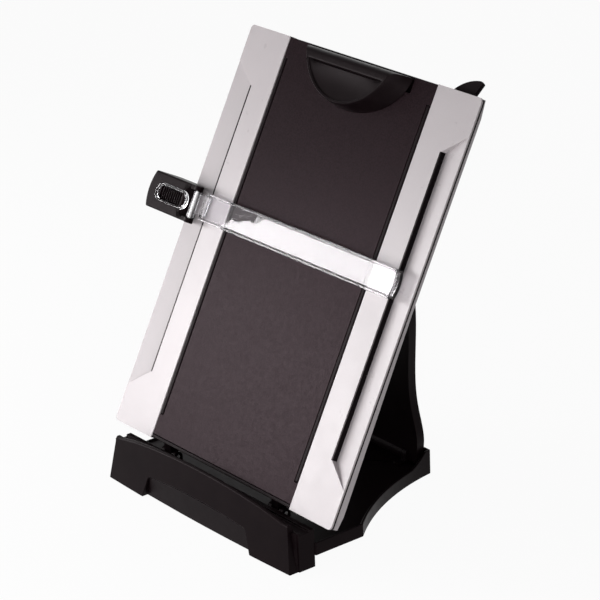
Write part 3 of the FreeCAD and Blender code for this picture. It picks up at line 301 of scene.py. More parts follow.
@dataclass(frozen=True)
class Frame:
    """A frame of the assembly that leans about a line across it.

    A point (across, behind, up) goes to y = foot_y + behind cos(lean) + up sin(lean) and
    z = foot_z + up cos(lean) - behind sin(lean), in metres.
    """

    foot_y: float = 0.0
    foot_z: float = 0.0
    lean: float = 0.0

    def place(self, points: Array) -> Array:
        """Points of this frame, in millimetres, as points of the whole, in metres.

        Args:
            points: (..., 3) points (across, behind, up).

        Returns:
            (..., 3) points (x, y, z).
        """
        sine = math.sin(math.radians(self.lean))
        cosine = math.cos(math.radians(self.lean))
        across, behind, up = np.moveaxis(points, -1, 0)
        y = self.foot_y + behind * cosine + up * sine
        z = self.foot_z + up * cosine - behind * sine
        return np.stack((across, y, z), axis=-1) * METRES


UPRIGHT = Frame()
PANEL = Frame(foot_y=8.5, foot_z=33.7, lean=27.7)


class Axes(Enum):
    """Which two of (across, behind, up) an outline lies in; the third is the way it is carried."""

    FACE = (0, 2, 1)
    PLAN = (0, 1, 2)

    def lift(self, outline: Array, height: Array | float) -> Array:
        """(..., 2) outline points and their heights as (..., 3) points.

        Args:
            outline: (..., 2) points.
            height: How far each is carried.

        Returns:
            (..., 3) points.
        """
        height = np.broadcast_to(height, outline.shape[:-1])
        parts = (outline[..., 0], outline[..., 1], height)
        order = np.argsort(self.value)
        return np.stack([parts[i] for i in order], axis=-1)


@dataclass
class Skin:
    """Points and faces of closed surfaces, gathered sheet by sheet."""

    points: list[Array] = field(default_factory=list)
    faces: list[Sequence[int]] = field(default_factory=list)
    count: int = 0

    def sheet(self, grid: Array, wrap: bool = False) -> None:
        """Add a surface over a (rows, columns, 3) grid, joined round its columns if it wraps.

        Args:
            grid: (rows, columns, 3) points.
            wrap: Whether the last column is joined to the first.
        """
        rows, columns = grid.shape[:2]
        index = np.arange(rows * columns).reshape(rows, columns) + self.count
        if wrap:
            index = np.concatenate((index, index[:, :1]), axis=1)
        quads = np.stack((index[:-1, :-1], index[:-1, 1:], index[1:, 1:], index[1:, :-1]), axis=-1)
        self.faces.extend(quads.reshape(-1, 4).tolist())
        self.points.append(grid.reshape(-1, 3))
        self.count += rows * columns

    def cap(self, ring: Array) -> None:
        """Add one flat face inside a ring of (N, 3) points."""
        self.faces.append(list(range(self.count, self.count + len(ring))))
        self.points.append(ring)
        self.count += len(ring)

    def loft(self, rings: Array) -> None:
        """Add a solid through (rows, N, 3) closed rings, with its first and last ring filled."""
        self.sheet(rings, wrap=True)
        self.cap(rings[0])
        self.cap(rings[-1])

    def tube(self, rings: Array) -> None:
        """Add a closed tube through (rows, N, 3) rings, the last joined to the first."""
        self.sheet(np.concatenate((rings, rings[:1])), wrap=True)

    def slab(
        self, outline: Array, low: float, high: float, ease: float, axes: Axes = Axes.FACE
    ) -> None:
        """Add an outline carried from low to high, both rims rounded by a quarter circle.

        Args:
            outline: (N, 2) outline, counter-clockwise.
            low: Where it starts.
            high: Where it ends.
            ease: Radius of the rounded rims.
            axes: The plane the outline lies in.
        """
        outline = distinct(outline)
        inset, drop = quarter(ease)
        insets = np.concatenate((inset[::-1], inset))
        heights = np.concatenate((low + drop[::-1], high - drop))
        rings = outline + insets[:, None, None] * inward(outline)
        self.loft(axes.lift(rings, heights[:, None]))

    def open_tray(
        self,
        outline: Array,
        wall: float,
        under: float,
        floor: float,
        rim: Array | float,
        foot: Array | float | None = None,
        ease: float = 0.5,
        axes: Axes = Axes.PLAN,
    ) -> None:
        """Add a tray: a wall round an outline, with a floor inside it and maybe a skirt below.

        The wall's section is carried round the outline, from the floor's top over the rounded rim
        and down the outside to the foot, and up the skirt's inside to the floor's underside.

        Args:
            outline: (N, 2) outer outline, counter-clockwise.
            wall: Thickness of the wall.
            under: Height of the floor's underside.
            floor: Height of the floor's top.
            rim: Height of the rim, for all points or each.
            foot: Height of the skirt's foot, or None where the floor is the lowest part.
            ease: Radius of the rim's two rounded edges.
            axes: The plane the outline lies in.
        """
        count = len(outline)
        rim = np.broadcast_to(rim, count)
        inset, drop = quarter(ease)
        low = np.full(count, under) if foot is None else np.broadcast_to(foot, count)
        insets = [wall + ease - inset, wall - inset, inset[::-1], inset]
        heights = [
            np.full(count, floor) + (ease - drop)[:, None],
            rim - drop[:, None],
            rim - drop[::-1, None],
            low + drop[:, None],
        ]
        if foot is not None:
            insets.append(np.full(2, wall))
            heights.append(np.stack((low, np.full(count, under))))
        rings = outline + np.concatenate(insets)[:, None, None] * inward(outline)
        self.loft(axes.lift(rings, np.concatenate(heights)))

    def piece(self, name: str, frame: Frame, mirror: bool = False) -> bpy.types.Object:
        """Make the Blender object of this skin.

        Args:
            name: The object's name.
            frame: The frame its points are in.
            mirror: Whether to turn it into its mirror image across the middle.

        Returns:
            An object at the origin, with its place in its mesh and its normals outwards.
        """
        points = np.concatenate(self.points)
        if mirror:
            points = points * (-1, 1, 1)
        mesh = bpy.data.meshes.new(name)
        mesh.from_pydata(frame.place(points).tolist(), [], self.faces)
        close_up(mesh)
        obj = bpy.data.objects.new(name, mesh)
        bpy.context.scene.collection.objects.link(obj)
        return obj


def close_up(mesh: bpy.types.Mesh) -> None:
    """Merge a mesh's doubles, drop faces of no area and turn its normals outwards.

    Args:
        mesh: The mesh, which is changed.
    """
    work = bmesh.new()
    work.from_mesh(mesh)
    bmesh.ops.remove_doubles(work, verts=work.verts, dist=MERGE_DISTANCE)
    bmesh.ops.dissolve_degenerate(work, edges=work.edges, dist=MERGE_DISTANCE)
    bmesh.ops.recalc_face_normals(work, faces=work.faces)
    work.to_mesh(mesh)
    work.free()


def smooth_off(obj: bpy.types.Object, ease: float = 0.0) -> bpy.types.Object:
    """Shade a piece smoothly but for its sharp edges, which a bevel eases where a width is given.

    Args:
        obj: The piece.
        ease: Width of the bevel in millimetres, or 0 for none.

    Returns:
        The same piece.
    """
    obj.data.polygons.foreach_set("use_smooth", np.ones(len(obj.data.polygons), bool))
    obj.data.set_sharp_from_angle(angle=SHARP_ANGLE)
    if ease > 0:
        bevel = obj.modifiers.new("Eased edges", "BEVEL")
        bevel.width = ease * METRES
        bevel.segments = 2
        bevel.limit_method = "ANGLE"
        bevel.angle_limit = SHARP_ANGLE
        bevel.use_clamp_overlap = True
        bevel.miter_outer = "MITER_ARC"
    even = obj.modifiers.new("Even shading", "WEIGHTED_NORMAL")
    even.keep_sharp = True
    even.weight = SHADING_WEIGHT
    return obj


def eased_copy(node: bpy.types.Object, name: str, ease: float) -> bpy.types.Object:
    """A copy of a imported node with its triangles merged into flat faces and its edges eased.

    Args:
        node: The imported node; it isn't changed.
        name: The copy's name.
        ease: Width of the eased edges in millimetres.

    Returns:
        The copy, smooth shaded.
    """
    mesh = node.data.copy()
    mesh.name = name
    mesh.materials.clear()
    if "custom_normal" in mesh.attributes:
        mesh.attributes.remove(mesh.attributes["custom_normal"])
    work = bmesh.new()
    work.from_mesh(mesh)
    bmesh.ops.remove_doubles(work, verts=work.verts, dist=PACKED_MERGE_DISTANCE)
    bmesh.ops.dissolve_limit(work, angle_limit=FLAT_ANGLE, verts=work.verts, edges=work.edges)
    work.to_mesh(mesh)
    work.free()
    obj = bpy.data.objects.new(name, mesh)
    bpy.context.scene.collection.objects.link(obj)
    return smooth_off(obj, ease)


# Finishes


class Recipe:
    """A material's node tree, with short ways to add what the finishes share.

    Patterns read Object coordinates, in metres, so their scales are features per metre.
    """

    def __init__(self, name: str) -> None:
        """Start a material with one Principled shader on its output.

        Args:
            name: The material's name.
        """
        self.material = bpy.data.materials.new(name)
        self.material.use_nodes = True
        self.tree = self.material.node_tree
        self.shader = self.tree.nodes["Principled BSDF"]
        self.place = self.add("ShaderNodeTexCoord").outputs["Object"]

    def add(self, kind: str, **settings: object) -> bpy.types.Node:
        """Add a node and set its properties.

        Args:
            kind: The node's type.
            **settings: Its properties.

        Returns:
            The node.
        """
        node = self.tree.nodes.new(kind)
        for name, value in settings.items():
            setattr(node, name, value)
        return node

    def link(self, start: Socket, end: Socket) -> None:
        """Join two sockets."""
        self.tree.links.new(start, end)

    def set(self, **values: float | Colour) -> None:
        """Set constant values on the shader's own sockets, by socket name with _ for spaces."""
        for name, value in values.items():
            socket = self.shader.inputs[name.replace("_", " ")]
            socket.default_value = (*value, 1.0) if isinstance(value, tuple) else value

    def noise(
        self,
        scale: float,
        detail: float = 3.0,
        rough: float = 0.55,
        stretch: Colour = (1.0, 1.0, 1.0),
    ) -> Socket:
        """Cloudy noise from 0 to 1, stretched by the inverse of a factor along each axis.

        Args:
            scale: Features in a metre.
            detail: Octaves of finer noise.
            rough: Weight of the finer noise.
            stretch: Factor on each axis.

        Returns:
            The noise.
        """
        mapping = self.add("ShaderNodeMapping")
        mapping.inputs["Scale"].default_value = stretch
        self.link(self.place, mapping.inputs["Vector"])
        node = self.add("ShaderNodeTexNoise")
        node.inputs["Scale"].default_value = scale
        node.inputs["Detail"].default_value = detail
        node.inputs["Roughness"].default_value = rough
        self.link(mapping.outputs["Vector"], node.inputs["Vector"])
        return node.outputs["Fac"]

    def cells(self, scale: float) -> Socket:
        """Distance within Voronoi cells.

        Args:
            scale: Cells in a metre.

        Returns:
            The distance.
        """
        node = self.add("ShaderNodeTexVoronoi")
        node.inputs["Scale"].default_value = scale
        self.link(self.place, node.inputs["Vector"])
        return node.outputs["Distance"]

    def warped_cells(self, scale: float, smooth: float, warp: float) -> Socket:
        """Distance within soft Voronoi cells whose place a noise shifts.

        Args:
            scale: Cells in a metre.
            smooth: How far neighbouring cells flow together, from 0 to 1.
            warp: Length in metres that the noise's range stands for.

        Returns:
            The distance.
        """
        wander = self.add("ShaderNodeTexNoise")
        wander.inputs["Scale"].default_value = scale * WARP_COARSENESS
        centred = self.add("ShaderNodeVectorMath", operation="SUBTRACT")
        centred.inputs[1].default_value = (0.5, 0.5, 0.5)
        scaled = self.add("ShaderNodeVectorMath", operation="SCALE")
        scaled.inputs["Scale"].default_value = warp
        moved = self.add("ShaderNodeVectorMath", operation="ADD")
        node = self.add("ShaderNodeTexVoronoi", feature="SMOOTH_F1")
        node.inputs["Scale"].default_value = scale
        node.inputs["Smoothness"].default_value = smooth
        self.link(self.place, wander.inputs["Vector"])
        self.link(wander.outputs["Color"], centred.inputs[0])
        self.link(centred.outputs["Vector"], scaled.inputs[0])
        self.link(self.place, moved.inputs[0])
        self.link(scaled.outputs["Vector"], moved.inputs[1])
        self.link(moved.outputs["Vector"], node.inputs["Vector"])
        return node.outputs["Distance"]

    def spread(
        self, value: Socket, low: float, high: float, start: float = 0.3, stop: float = 0.7
    ) -> Socket:
        """A value's range start to stop, carried to low and high.

        Args:
            value: The value.
            low: What it becomes at start.
            high: What it becomes at stop.
            start: Start of its range.
            stop: End of its range.

        Returns:
            The new value.
        """
        node = self.add("ShaderNodeMapRange")
        ends = {"From Min": start, "From Max": stop, "To Min": low, "To Max": high}
        for name, number in ends.items():
            node.inputs[name].default_value = number
        self.link(value, node.inputs["Value"])
        return node.outputs["Result"]

    def tint(
        self, value: Socket, dark: Colour, pale: Colour, start: float = 0.3, stop: float = 0.7
    ) -> None:
        """Run the base colour from dark to pale as a value goes from start to stop.

        Args:
            value: The value.
            dark: Colour up to start.
            pale: Colour from stop on.
            start: Where the change starts.
            stop: Where it ends.
        """
        ramp = self.add("ShaderNodeValToRGB")
        for element, place, colour in zip(ramp.color_ramp.elements, (start, stop), (dark, pale)):
            element.position = place
            element.color = (*colour, 1.0)
        self.link(value, ramp.inputs["Fac"])
        self.link(ramp.outputs["Color"], self.shader.inputs["Base Color"])

    def rough(
        self, value: Socket, low: float, high: float, start: float = 0.3, stop: float = 0.7
    ) -> None:
        """Run the roughness from low to high as a value goes from start to stop."""
        self.link(self.spread(value, low, high, start, stop), self.shader.inputs["Roughness"])

    def relief(self, *layers: tuple[Socket, float]) -> None:
        """Bump from heights laid over each other, each with its depth in millimetres."""
        below = None
        for height, depth in layers:
            bump = self.add("ShaderNodeBump")
            bump.inputs["Strength"].default_value = 1.0
            bump.inputs["Distance"].default_value = depth * METRES
            self.link(height, bump.inputs["Height"])
            if below is not None:
                self.link(below, bump.inputs["Normal"])
            below = bump.outputs["Normal"]
        self.link(below, self.shader.inputs["Normal"])


@dataclass(frozen=True)
class Finish:
    """A named finish, whose kind says what goes into its recipe."""

    name: str

    def mix(self, recipe: Recipe) -> None:
        """Put this kind's patterns and constants into a recipe."""
        raise NotImplementedError

    def make(self) -> bpy.types.Material:
        """Build the material."""
        recipe = Recipe(self.name)
        self.mix(recipe)
        return recipe.material


@dataclass(frozen=True)
class MouldedPlastic(Finish):
    """Injection-moulded plastic with a fine spark-eroded texture.

    The texture is noise of the grain's size over fainter waves of the moulding's skin, whose
    noise also varies the colour a little; a third noise varies the roughness.
    """

    dark: Colour
    pale: Colour
    smooth: float
    matt: float
    grain: float = 0.35
    depth: float = 0.008
    wave_scale: float = 55.0
    wave_depth: float = 0.12
    gloss_scale: float = 140.0
    ior: float = 1.5
    sheen: Colour = (1.0, 0.84, 0.88)

    def mix(self, recipe: Recipe) -> None:
        """Put in the texture, the waves and the gloss.

        Args:
            recipe: The recipe to fill.
        """
        texture = recipe.noise(1 / (self.grain * METRES), detail=4.0, rough=0.6)
        waves = recipe.noise(self.wave_scale)
        recipe.tint(waves, self.dark, self.pale)
        gloss = recipe.noise(self.gloss_scale, detail=5.0, rough=0.65)
        recipe.rough(gloss, self.smooth, self.matt)
        recipe.relief((waves, self.wave_depth), (texture, self.depth))
        recipe.set(IOR=self.ior, Specular_Tint=self.sheen)


@dataclass(frozen=True)
class SilverPaint(Finish):
    """Silver-painted plastic: fine flakes in a soft satin coat.

    Fine noise of the flakes' size lightens and darkens the colour; a broad noise gives the faint
    mottling that sprayed paint has.
    """

    dark: Colour
    pale: Colour
    smooth: float = 0.27
    matt: float = 0.35
    flake: float = 0.28
    flake_depth: float = 0.006
    mottle_scale: float = 90.0
    mottle_depth: float = 0.04
    metal: float = 0.02
    ior: float = 1.42

    def mix(self, recipe: Recipe) -> None:
        """Put in the flakes, the mottling and the satin gloss.

        Args:
            recipe: The recipe to fill.
        """
        flakes = recipe.noise(1 / (self.flake * METRES), detail=2.0, rough=0.7)
        recipe.tint(flakes, self.dark, self.pale, start=0.25, stop=0.75)
        mottle = recipe.noise(self.mottle_scale, detail=4.0, rough=0.6)
        recipe.rough(mottle, self.smooth, self.matt)
        recipe.relief((mottle, self.mottle_depth), (flakes, self.flake_depth))
        recipe.set(Metallic=self.metal, IOR=self.ior)


@dataclass(frozen=True)
class GrainedSheet(Finish):
    """Soft sheet embossed with a leather-like grain.

    The grain is smooth Voronoi cells with warped edges under finer pores; the colour is painted
    darker in the creases between cells than on their crowns, as painted shade, and a broader
    noise varies the roughness.
    """

    # painted shade: the colour of the low creases between grain cells
    crease_shade: Colour
    crown: Colour
    smooth: float = 0.28
    matt: float = 0.37
    cell: float = 1.25
    warp: float = 0.9
    soft: float = 0.25
    depth: float = 0.013
    pores_per_cell: float = 3.2
    pore_depth: float = 0.004
    gloss_per_cell: float = 0.4
    ior: float = 1.15
    sheen: Colour = (1.0, 0.64, 0.76)

    def mix(self, recipe: Recipe) -> None:
        """Put in the cells, the pores and the sheen.

        Args:
            recipe: The recipe to fill.
        """
        scale = 1 / (self.cell * METRES)
        cells = recipe.warped_cells(scale, self.soft, self.cell * METRES * self.warp)
        pores = recipe.noise(scale * self.pores_per_cell, rough=0.6)
        crowns = recipe.spread(cells, 1.0, 0.0, start=0.1, stop=0.75)
        # painted shade: the base colour darkens into the creases, following the bump's height
        recipe.tint(crowns, self.crease_shade, self.crown, start=0.05, stop=0.85)
        recipe.rough(recipe.noise(scale * self.gloss_per_cell), self.smooth, self.matt)
        recipe.relief((crowns, self.depth), (pores, self.pore_depth))
        recipe.set(IOR=self.ior, Specular_Tint=self.sheen)


@dataclass(frozen=True)
class ClearPlastic(Finish):
    """Clear acrylic with light scuffs and the slight waviness of a moulding."""

    tint: Colour = (0.97, 0.965, 0.985)
    sheen: Colour = (1.0, 0.955, 0.975)
    ior: float = 1.42
    smooth: float = 0.015
    scuffed: float = 0.05
    scuff_scale: float = 420.0
    wave: float = 16.0
    depth: float = 0.05

    def mix(self, recipe: Recipe) -> None:
        """Put in the scuffs and the waves.

        Args:
            recipe: The recipe to fill.
        """
        recipe.set(Base_Color=self.tint, Transmission_Weight=1.0)
        recipe.set(IOR=self.ior, Specular_Tint=self.sheen)
        scuffs = recipe.noise(self.scuff_scale, detail=4.0, rough=0.7)
        recipe.rough(scuffs, self.smooth, self.scuffed, start=0.45, stop=0.8)
        recipe.relief((recipe.noise(1 / (self.wave * METRES), detail=2.0), self.depth))


@dataclass(frozen=True)
class BareSteel(Finish):
    """Drawn steel: streaks along X, which the bars and pins run along."""

    dark: Colour = (0.42, 0.42, 0.43)
    pale: Colour = (0.62, 0.61, 0.60)
    smooth: float = 0.24
    matt: float = 0.42
    streak_scale: float = 2600.0
    streak_draw: Colour = (0.03, 1.0, 1.0)
    streak_depth: float = 0.005

    def mix(self, recipe: Recipe) -> None:
        """Put in the streaks.

        Args:
            recipe: The recipe to fill.
        """
        streaks = recipe.noise(self.streak_scale, rough=0.6, stretch=self.streak_draw)
        recipe.tint(streaks, self.dark, self.pale)
        recipe.rough(streaks, self.smooth, self.matt)
        recipe.relief((streaks, self.streak_depth))
        recipe.set(Metallic=1.0)


@dataclass(frozen=True)
class SoftRubber(Finish):
    """Matt rubber with a pebbled face."""

    dark: Colour = (0.018, 0.017, 0.017)
    pale: Colour = (0.034, 0.032, 0.031)
    smooth: float = 0.7
    matt: float = 0.86
    pebble_scale: float = 1600.0
    pebble_depth: float = 0.04
    gloss_scale: float = 300.0
    gloss_level: float = 0.3

    def mix(self, recipe: Recipe) -> None:
        """Put in the pebbles.

        Args:
            recipe: The recipe to fill.
        """
        pebbles = recipe.cells(self.pebble_scale)
        recipe.tint(pebbles, self.pale, self.dark, start=0.1, stop=0.7)
        recipe.rough(recipe.noise(self.gloss_scale), self.smooth, self.matt)
        recipe.relief((pebbles, self.pebble_depth))
        recipe.set(Specular_IOR_Level=self.gloss_level)


@dataclass(frozen=True)
class WritingSurface(Finish):
    """Glossy white board with faint orange peel and wiped streaks."""

    dull: Colour = (0.80, 0.79, 0.80)
    clean: Colour = (0.86, 0.85, 0.86)
    smooth: float = 0.16
    matt: float = 0.28
    wipe_scale: float = 60.0
    wipe_draw: Colour = (0.3, 1.0, 1.0)
    peel_scale: float = 700.0
    peel_depth: float = 0.012
    coat: float = 0.25
    coat_matt: float = 0.1

    def mix(self, recipe: Recipe) -> None:
        """Put in the streaks, the orange peel and the gloss coat.

        Args:
            recipe: The recipe to fill.
        """
        wiped = recipe.noise(self.wipe_scale, detail=5.0, rough=0.65, stretch=self.wipe_draw)
        recipe.tint(wiped, self.dull, self.clean)
        recipe.rough(wiped, self.smooth, self.matt)
        recipe.relief((recipe.noise(self.peel_scale, detail=2.0), self.peel_depth))
        recipe.set(Coat_Weight=self.coat, Coat_Roughness=self.coat_matt)


FINISHES: dict[Slot, Finish] = {
    Slot.BLACK: MouldedPlastic(
        "satin black plastic",
        dark=(0.0036, 0.0016, 0.0022),
        pale=(0.0056, 0.0030, 0.0036),
        smooth=0.32,
        matt=0.44,
        ior=1.13,
    ),
    Slot.GLOSS: MouldedPlastic(
        "gloss black plastic",
        dark=(0.0030, 0.0018, 0.0022),
        pale=(0.0044, 0.0030, 0.0034),
        smooth=0.20,
        matt=0.30,
        depth=0.003,
        ior=1.20,
    ),
    Slot.SILVER: SilverPaint(
        "silver paint", dark=(0.480, 0.438, 0.452), pale=(0.545, 0.500, 0.514)
    ),
    Slot.PAD: GrainedSheet(
        # the crease colour is painted shade, darker than the crowns
        "leather grained pad", crease_shade=(0.0040, 0.0012, 0.0020), crown=(0.0100, 0.0046, 0.0062)
    ),
    Slot.CLEAR: ClearPlastic("clear acrylic"),
    Slot.WHITE: WritingSurface("white board face"),
    Slot.GREY: MouldedPlastic(
        "grey plastic", dark=(0.30, 0.29, 0.28), pale=(0.36, 0.35, 0.34), smooth=0.36, matt=0.48
    ),
    Slot.STEEL: BareSteel("drawn steel"),
    Slot.RUBBER: SoftRubber("black rubber"),
}


@dataclass
class Workshop:
    """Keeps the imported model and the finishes, and fits each new piece to its body."""

    nodes: dict[str, bpy.types.Object]
    materials: dict[Slot, bpy.types.Material] = field(default_factory=dict)

    def mix_finishes(self) -> None:
        """Make every finish's material."""
        for slot, finish in FINISHES.items():
            self.materials[slot] = finish.make()

    def fit(self, obj: bpy.types.Object, body: Body, slot: Slot, node: str) -> None:
        """Finish a piece and let it ride on its body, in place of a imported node.

        Args:
            obj: The piece.
            body: The body it moves with.
            slot: The finish it gets.
            node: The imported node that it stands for.
        """
        obj.data.materials.clear()
        obj.data.materials.append(self.materials[slot])
        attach(obj, body.value)
        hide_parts(node)
        LOG.info("%s rides on %s, %d faces", obj.name, body.value, len(obj.data.polygons))

    def dress(
        self,
        skin: Skin,
        name: str,
        frame: Frame,
        body: Body,
        slot: Slot,
        node: str,
        ease: float = 0.0,
        mirror: bool = False,
    ) -> None:
        """Make a skin's piece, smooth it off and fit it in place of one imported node.

        Args:
            skin: The points and faces.
            name: The piece's name.
            frame: The frame of its points.
            body: The body it moves with.
            slot: The finish it gets.
            node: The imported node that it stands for.
            ease: Width of its eased edges in millimetres, or 0 for none.
            mirror: Whether it is the mirror image across the middle.
        """
        self.fit(smooth_off(skin.piece(name, frame, mirror), ease), body, slot, node)

    def ease(self, node: str, body: Body, slot: Slot, width: float) -> None:
        """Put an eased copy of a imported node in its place."""
        self.fit(eased_copy(self.nodes[node], node + "_eased", width), body, slot, node)

    def polish(self, slot: Slot, *nodes: str) -> None:
        """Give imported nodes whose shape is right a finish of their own.

        Args:
            slot: The finish.
            *nodes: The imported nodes.
        """
        for name in nodes:
            for material_slot in self.nodes[name].material_slots:
                material_slot.material = self.materials[slot]
            LOG.info("%s keeps its packed shape", name)


# Base


@dataclass
class FrontLedge:
    """The moulded block across the front: an arched lip before a shelf with a paper channel."""

    half_width: float = 101.3
    top_half: float = 95.7
    foot_height: float = 0.8
    shelf_height: float = 28.6
    end_height: float = 33.6
    arch: float = 8.0
    front: float = -12.0
    bow: float = 2.5
    setback: float = 4.4
    lip_depth: float = 9.0
    lip_top: float = 3.3
    shelf_half: float = 102.3
    back: float = 9.2
    channel: float = 8.2
    sink: float = 1.4
    mouth_foot: float = 60.5
    mouth_top: float = 54.5
    mouth_height: float = 17.3
    mouth_arch: float = 3.2
    mouth_round: float = 3.4
    turn: tuple[float, float] = (46.0, 62.0)
    stretch: float = 65.0
    lip_rounds: tuple[float, ...] = (0.7, 0.3, 0.8, 1.3, 1.5)
    shelf_overlap: float = 1.2
    shelf_rounds: tuple[float, ...] = (0.2, 0.3, 0.6, 0.4, 0.5, 0.5, 0.4, 0.1)
    cheek_reach: float = 6.0
    cheek_depths: tuple[float, ...] = (-6.0, -6.0, -3.2, -2.0, -2.0)
    cheek_low: float = 0.05
    cheek_gap: float = 0.3
    ease: float = 0.6

    def stations(self) -> Array:
        """Places across the ledge, closer where the mouth's edge turns.

        Returns:
            (N,) places, from left to right.
        """
        near, far = self.turn
        right = np.concatenate((
            np.linspace(0.0, near, 14)[:-1],
            np.linspace(near, far, 41)[:-1],
            np.linspace(far, self.half_width, 14),
        ))
        return np.concatenate((-right[:0:-1], right))

    def bowed(self, across: Array) -> Array:
        """Depth of the bow at a place: the sag of a wide circle, least in the middle."""
        radius = (self.half_width**2 + self.bow**2) / (2 * self.bow)
        return radius - np.sqrt(radius**2 - across**2) - self.bow

    def crest(self, across: Array) -> Array:
        """Height of the lip's top: a circle's arc over the middle."""
        radius = (self.top_half**2 + self.arch**2) / (2 * self.arch)
        inside = np.clip(np.abs(across), 0, self.top_half)
        return self.end_height + self.arch - radius + np.sqrt(radius**2 - inside**2)

    def roof(self, across: Array) -> Array:
        """Height of the underside: the foot outside the mouth, its sides and arch inside.

        The mouth's edge is the smooth minimum of its sloping side and its arch.

        Args:
            across: Places across the ledge.

        Returns:
            The height at each.
        """
        distance = np.abs(across)
        slope = (self.mouth_height - self.foot_height) / (self.mouth_foot - self.mouth_top)
        side = self.foot_height + (self.mouth_foot - distance) * slope
        arch = self.mouth_height + self.mouth_arch * (1 - (distance / self.mouth_top) ** 2)
        blend = np.clip(0.5 + 0.5 * (arch - side) / self.mouth_round, 0, 1)
        edge = arch * (1 - blend) + side * blend - self.mouth_round * blend * (1 - blend)
        return np.maximum(edge, self.foot_height)

    def spread(self, across: Array, half: Array) -> Array:
        """Carry places across the ledge so that its ends reach half, and its mouth stays."""
        share = np.clip((np.abs(across) - self.stretch) / (self.half_width - self.stretch), 0, 1)
        return across + np.sign(across) * share * (half - self.half_width)

    def lip(self) -> Array:
        """The lip's sections as (places, points, 3), with rounded corners.

        Returns:
            The points.
        """
        x = self.stations()
        low, top = self.roof(x), self.crest(x)
        rise = self.end_height - self.foot_height
        lean_low = self.setback * (low - self.foot_height) / rise
        lean_top = self.setback * (top - self.foot_height) / rise
        deep = np.full_like(x, self.lip_depth)
        depth = np.stack((lean_low, deep, deep, lean_top + self.lip_top, lean_top), axis=1)
        shelf = np.full_like(x, self.shelf_height)
        height = np.stack((low, low, shelf, top, top), axis=1)
        section = rounded(np.stack((depth, height), axis=-1), np.array(self.lip_rounds), 5)
        depth, height = section[..., 0], section[..., 1]
        narrow = (self.half_width - self.top_half) * (height - self.foot_height) / rise
        across = self.spread(np.broadcast_to(x[:, None], height.shape), self.half_width - narrow)
        return np.stack((across, self.front + self.bowed(across) + depth, height), axis=-1)

    def shelf(self) -> Array:
        """The shelf's sections as (places, points, 3), with the sunk paper channel.

        Returns:
            The points.
        """
        x = self.stations()
        low = self.roof(x)
        start = self.front + self.lip_depth
        top, sunk = self.shelf_height, self.shelf_height - self.sink
        front, step = start - self.shelf_overlap, start + self.channel
        depths = (front, self.back, self.back, step, step, start, start, front)
        heights = (low, low, top, top, sunk, sunk, top, top)
        depth = np.array(depths) + 0 * x[:, None]
        height = np.stack([z + 0 * x for z in heights], axis=1)
        section = rounded(np.stack((depth, height), axis=-1), np.array(self.shelf_rounds), 4)
        across = self.spread(np.broadcast_to(x[:, None], section.shape[:2]), self.shelf_half)
        return np.stack((across, section[..., 0], section[..., 1]), axis=-1)

    def cheek(self, side: int) -> Array:
        """A wedge that carries the lip's sloping end over to the shelf's, on one side.

        Args:
            side: -1 for the left end or 1 for the right.

        Returns:
            (9, 5, 3) rings.
        """
        low, high = self.foot_height + self.cheek_low, self.shelf_height - self.cheek_gap
        up = np.linspace(low, high, 9)
        rise = self.end_height - self.foot_height
        lip_end = self.half_width - (self.half_width - self.top_half) * (up - self.foot_height) / rise
        shelf_end = np.full_like(up, self.shelf_half - self.cheek_gap)
        root = lip_end - self.cheek_reach
        across = np.stack((root, lip_end - 0.5, shelf_end, shelf_end, root), axis=1)
        depth = np.array(self.cheek_depths) + 0 * across
        return Axes.PLAN.lift(np.stack((side * across, depth), axis=-1), up[:, None])

    def build(self, shop: Workshop) -> None:
        """Make the ledge.

        Args:
            shop: The workshop that fits the pieces.
        """
        skin = Skin()
        skin.loft(self.lip())
        skin.loft(self.shelf())
        for side in (-1, 1):
            skin.loft(self.cheek(side))
        name, node = "ledge_moulding", "front_ledge"
        shop.dress(skin, name, UPRIGHT, Body.BASE, Slot.BLACK, node, self.ease)


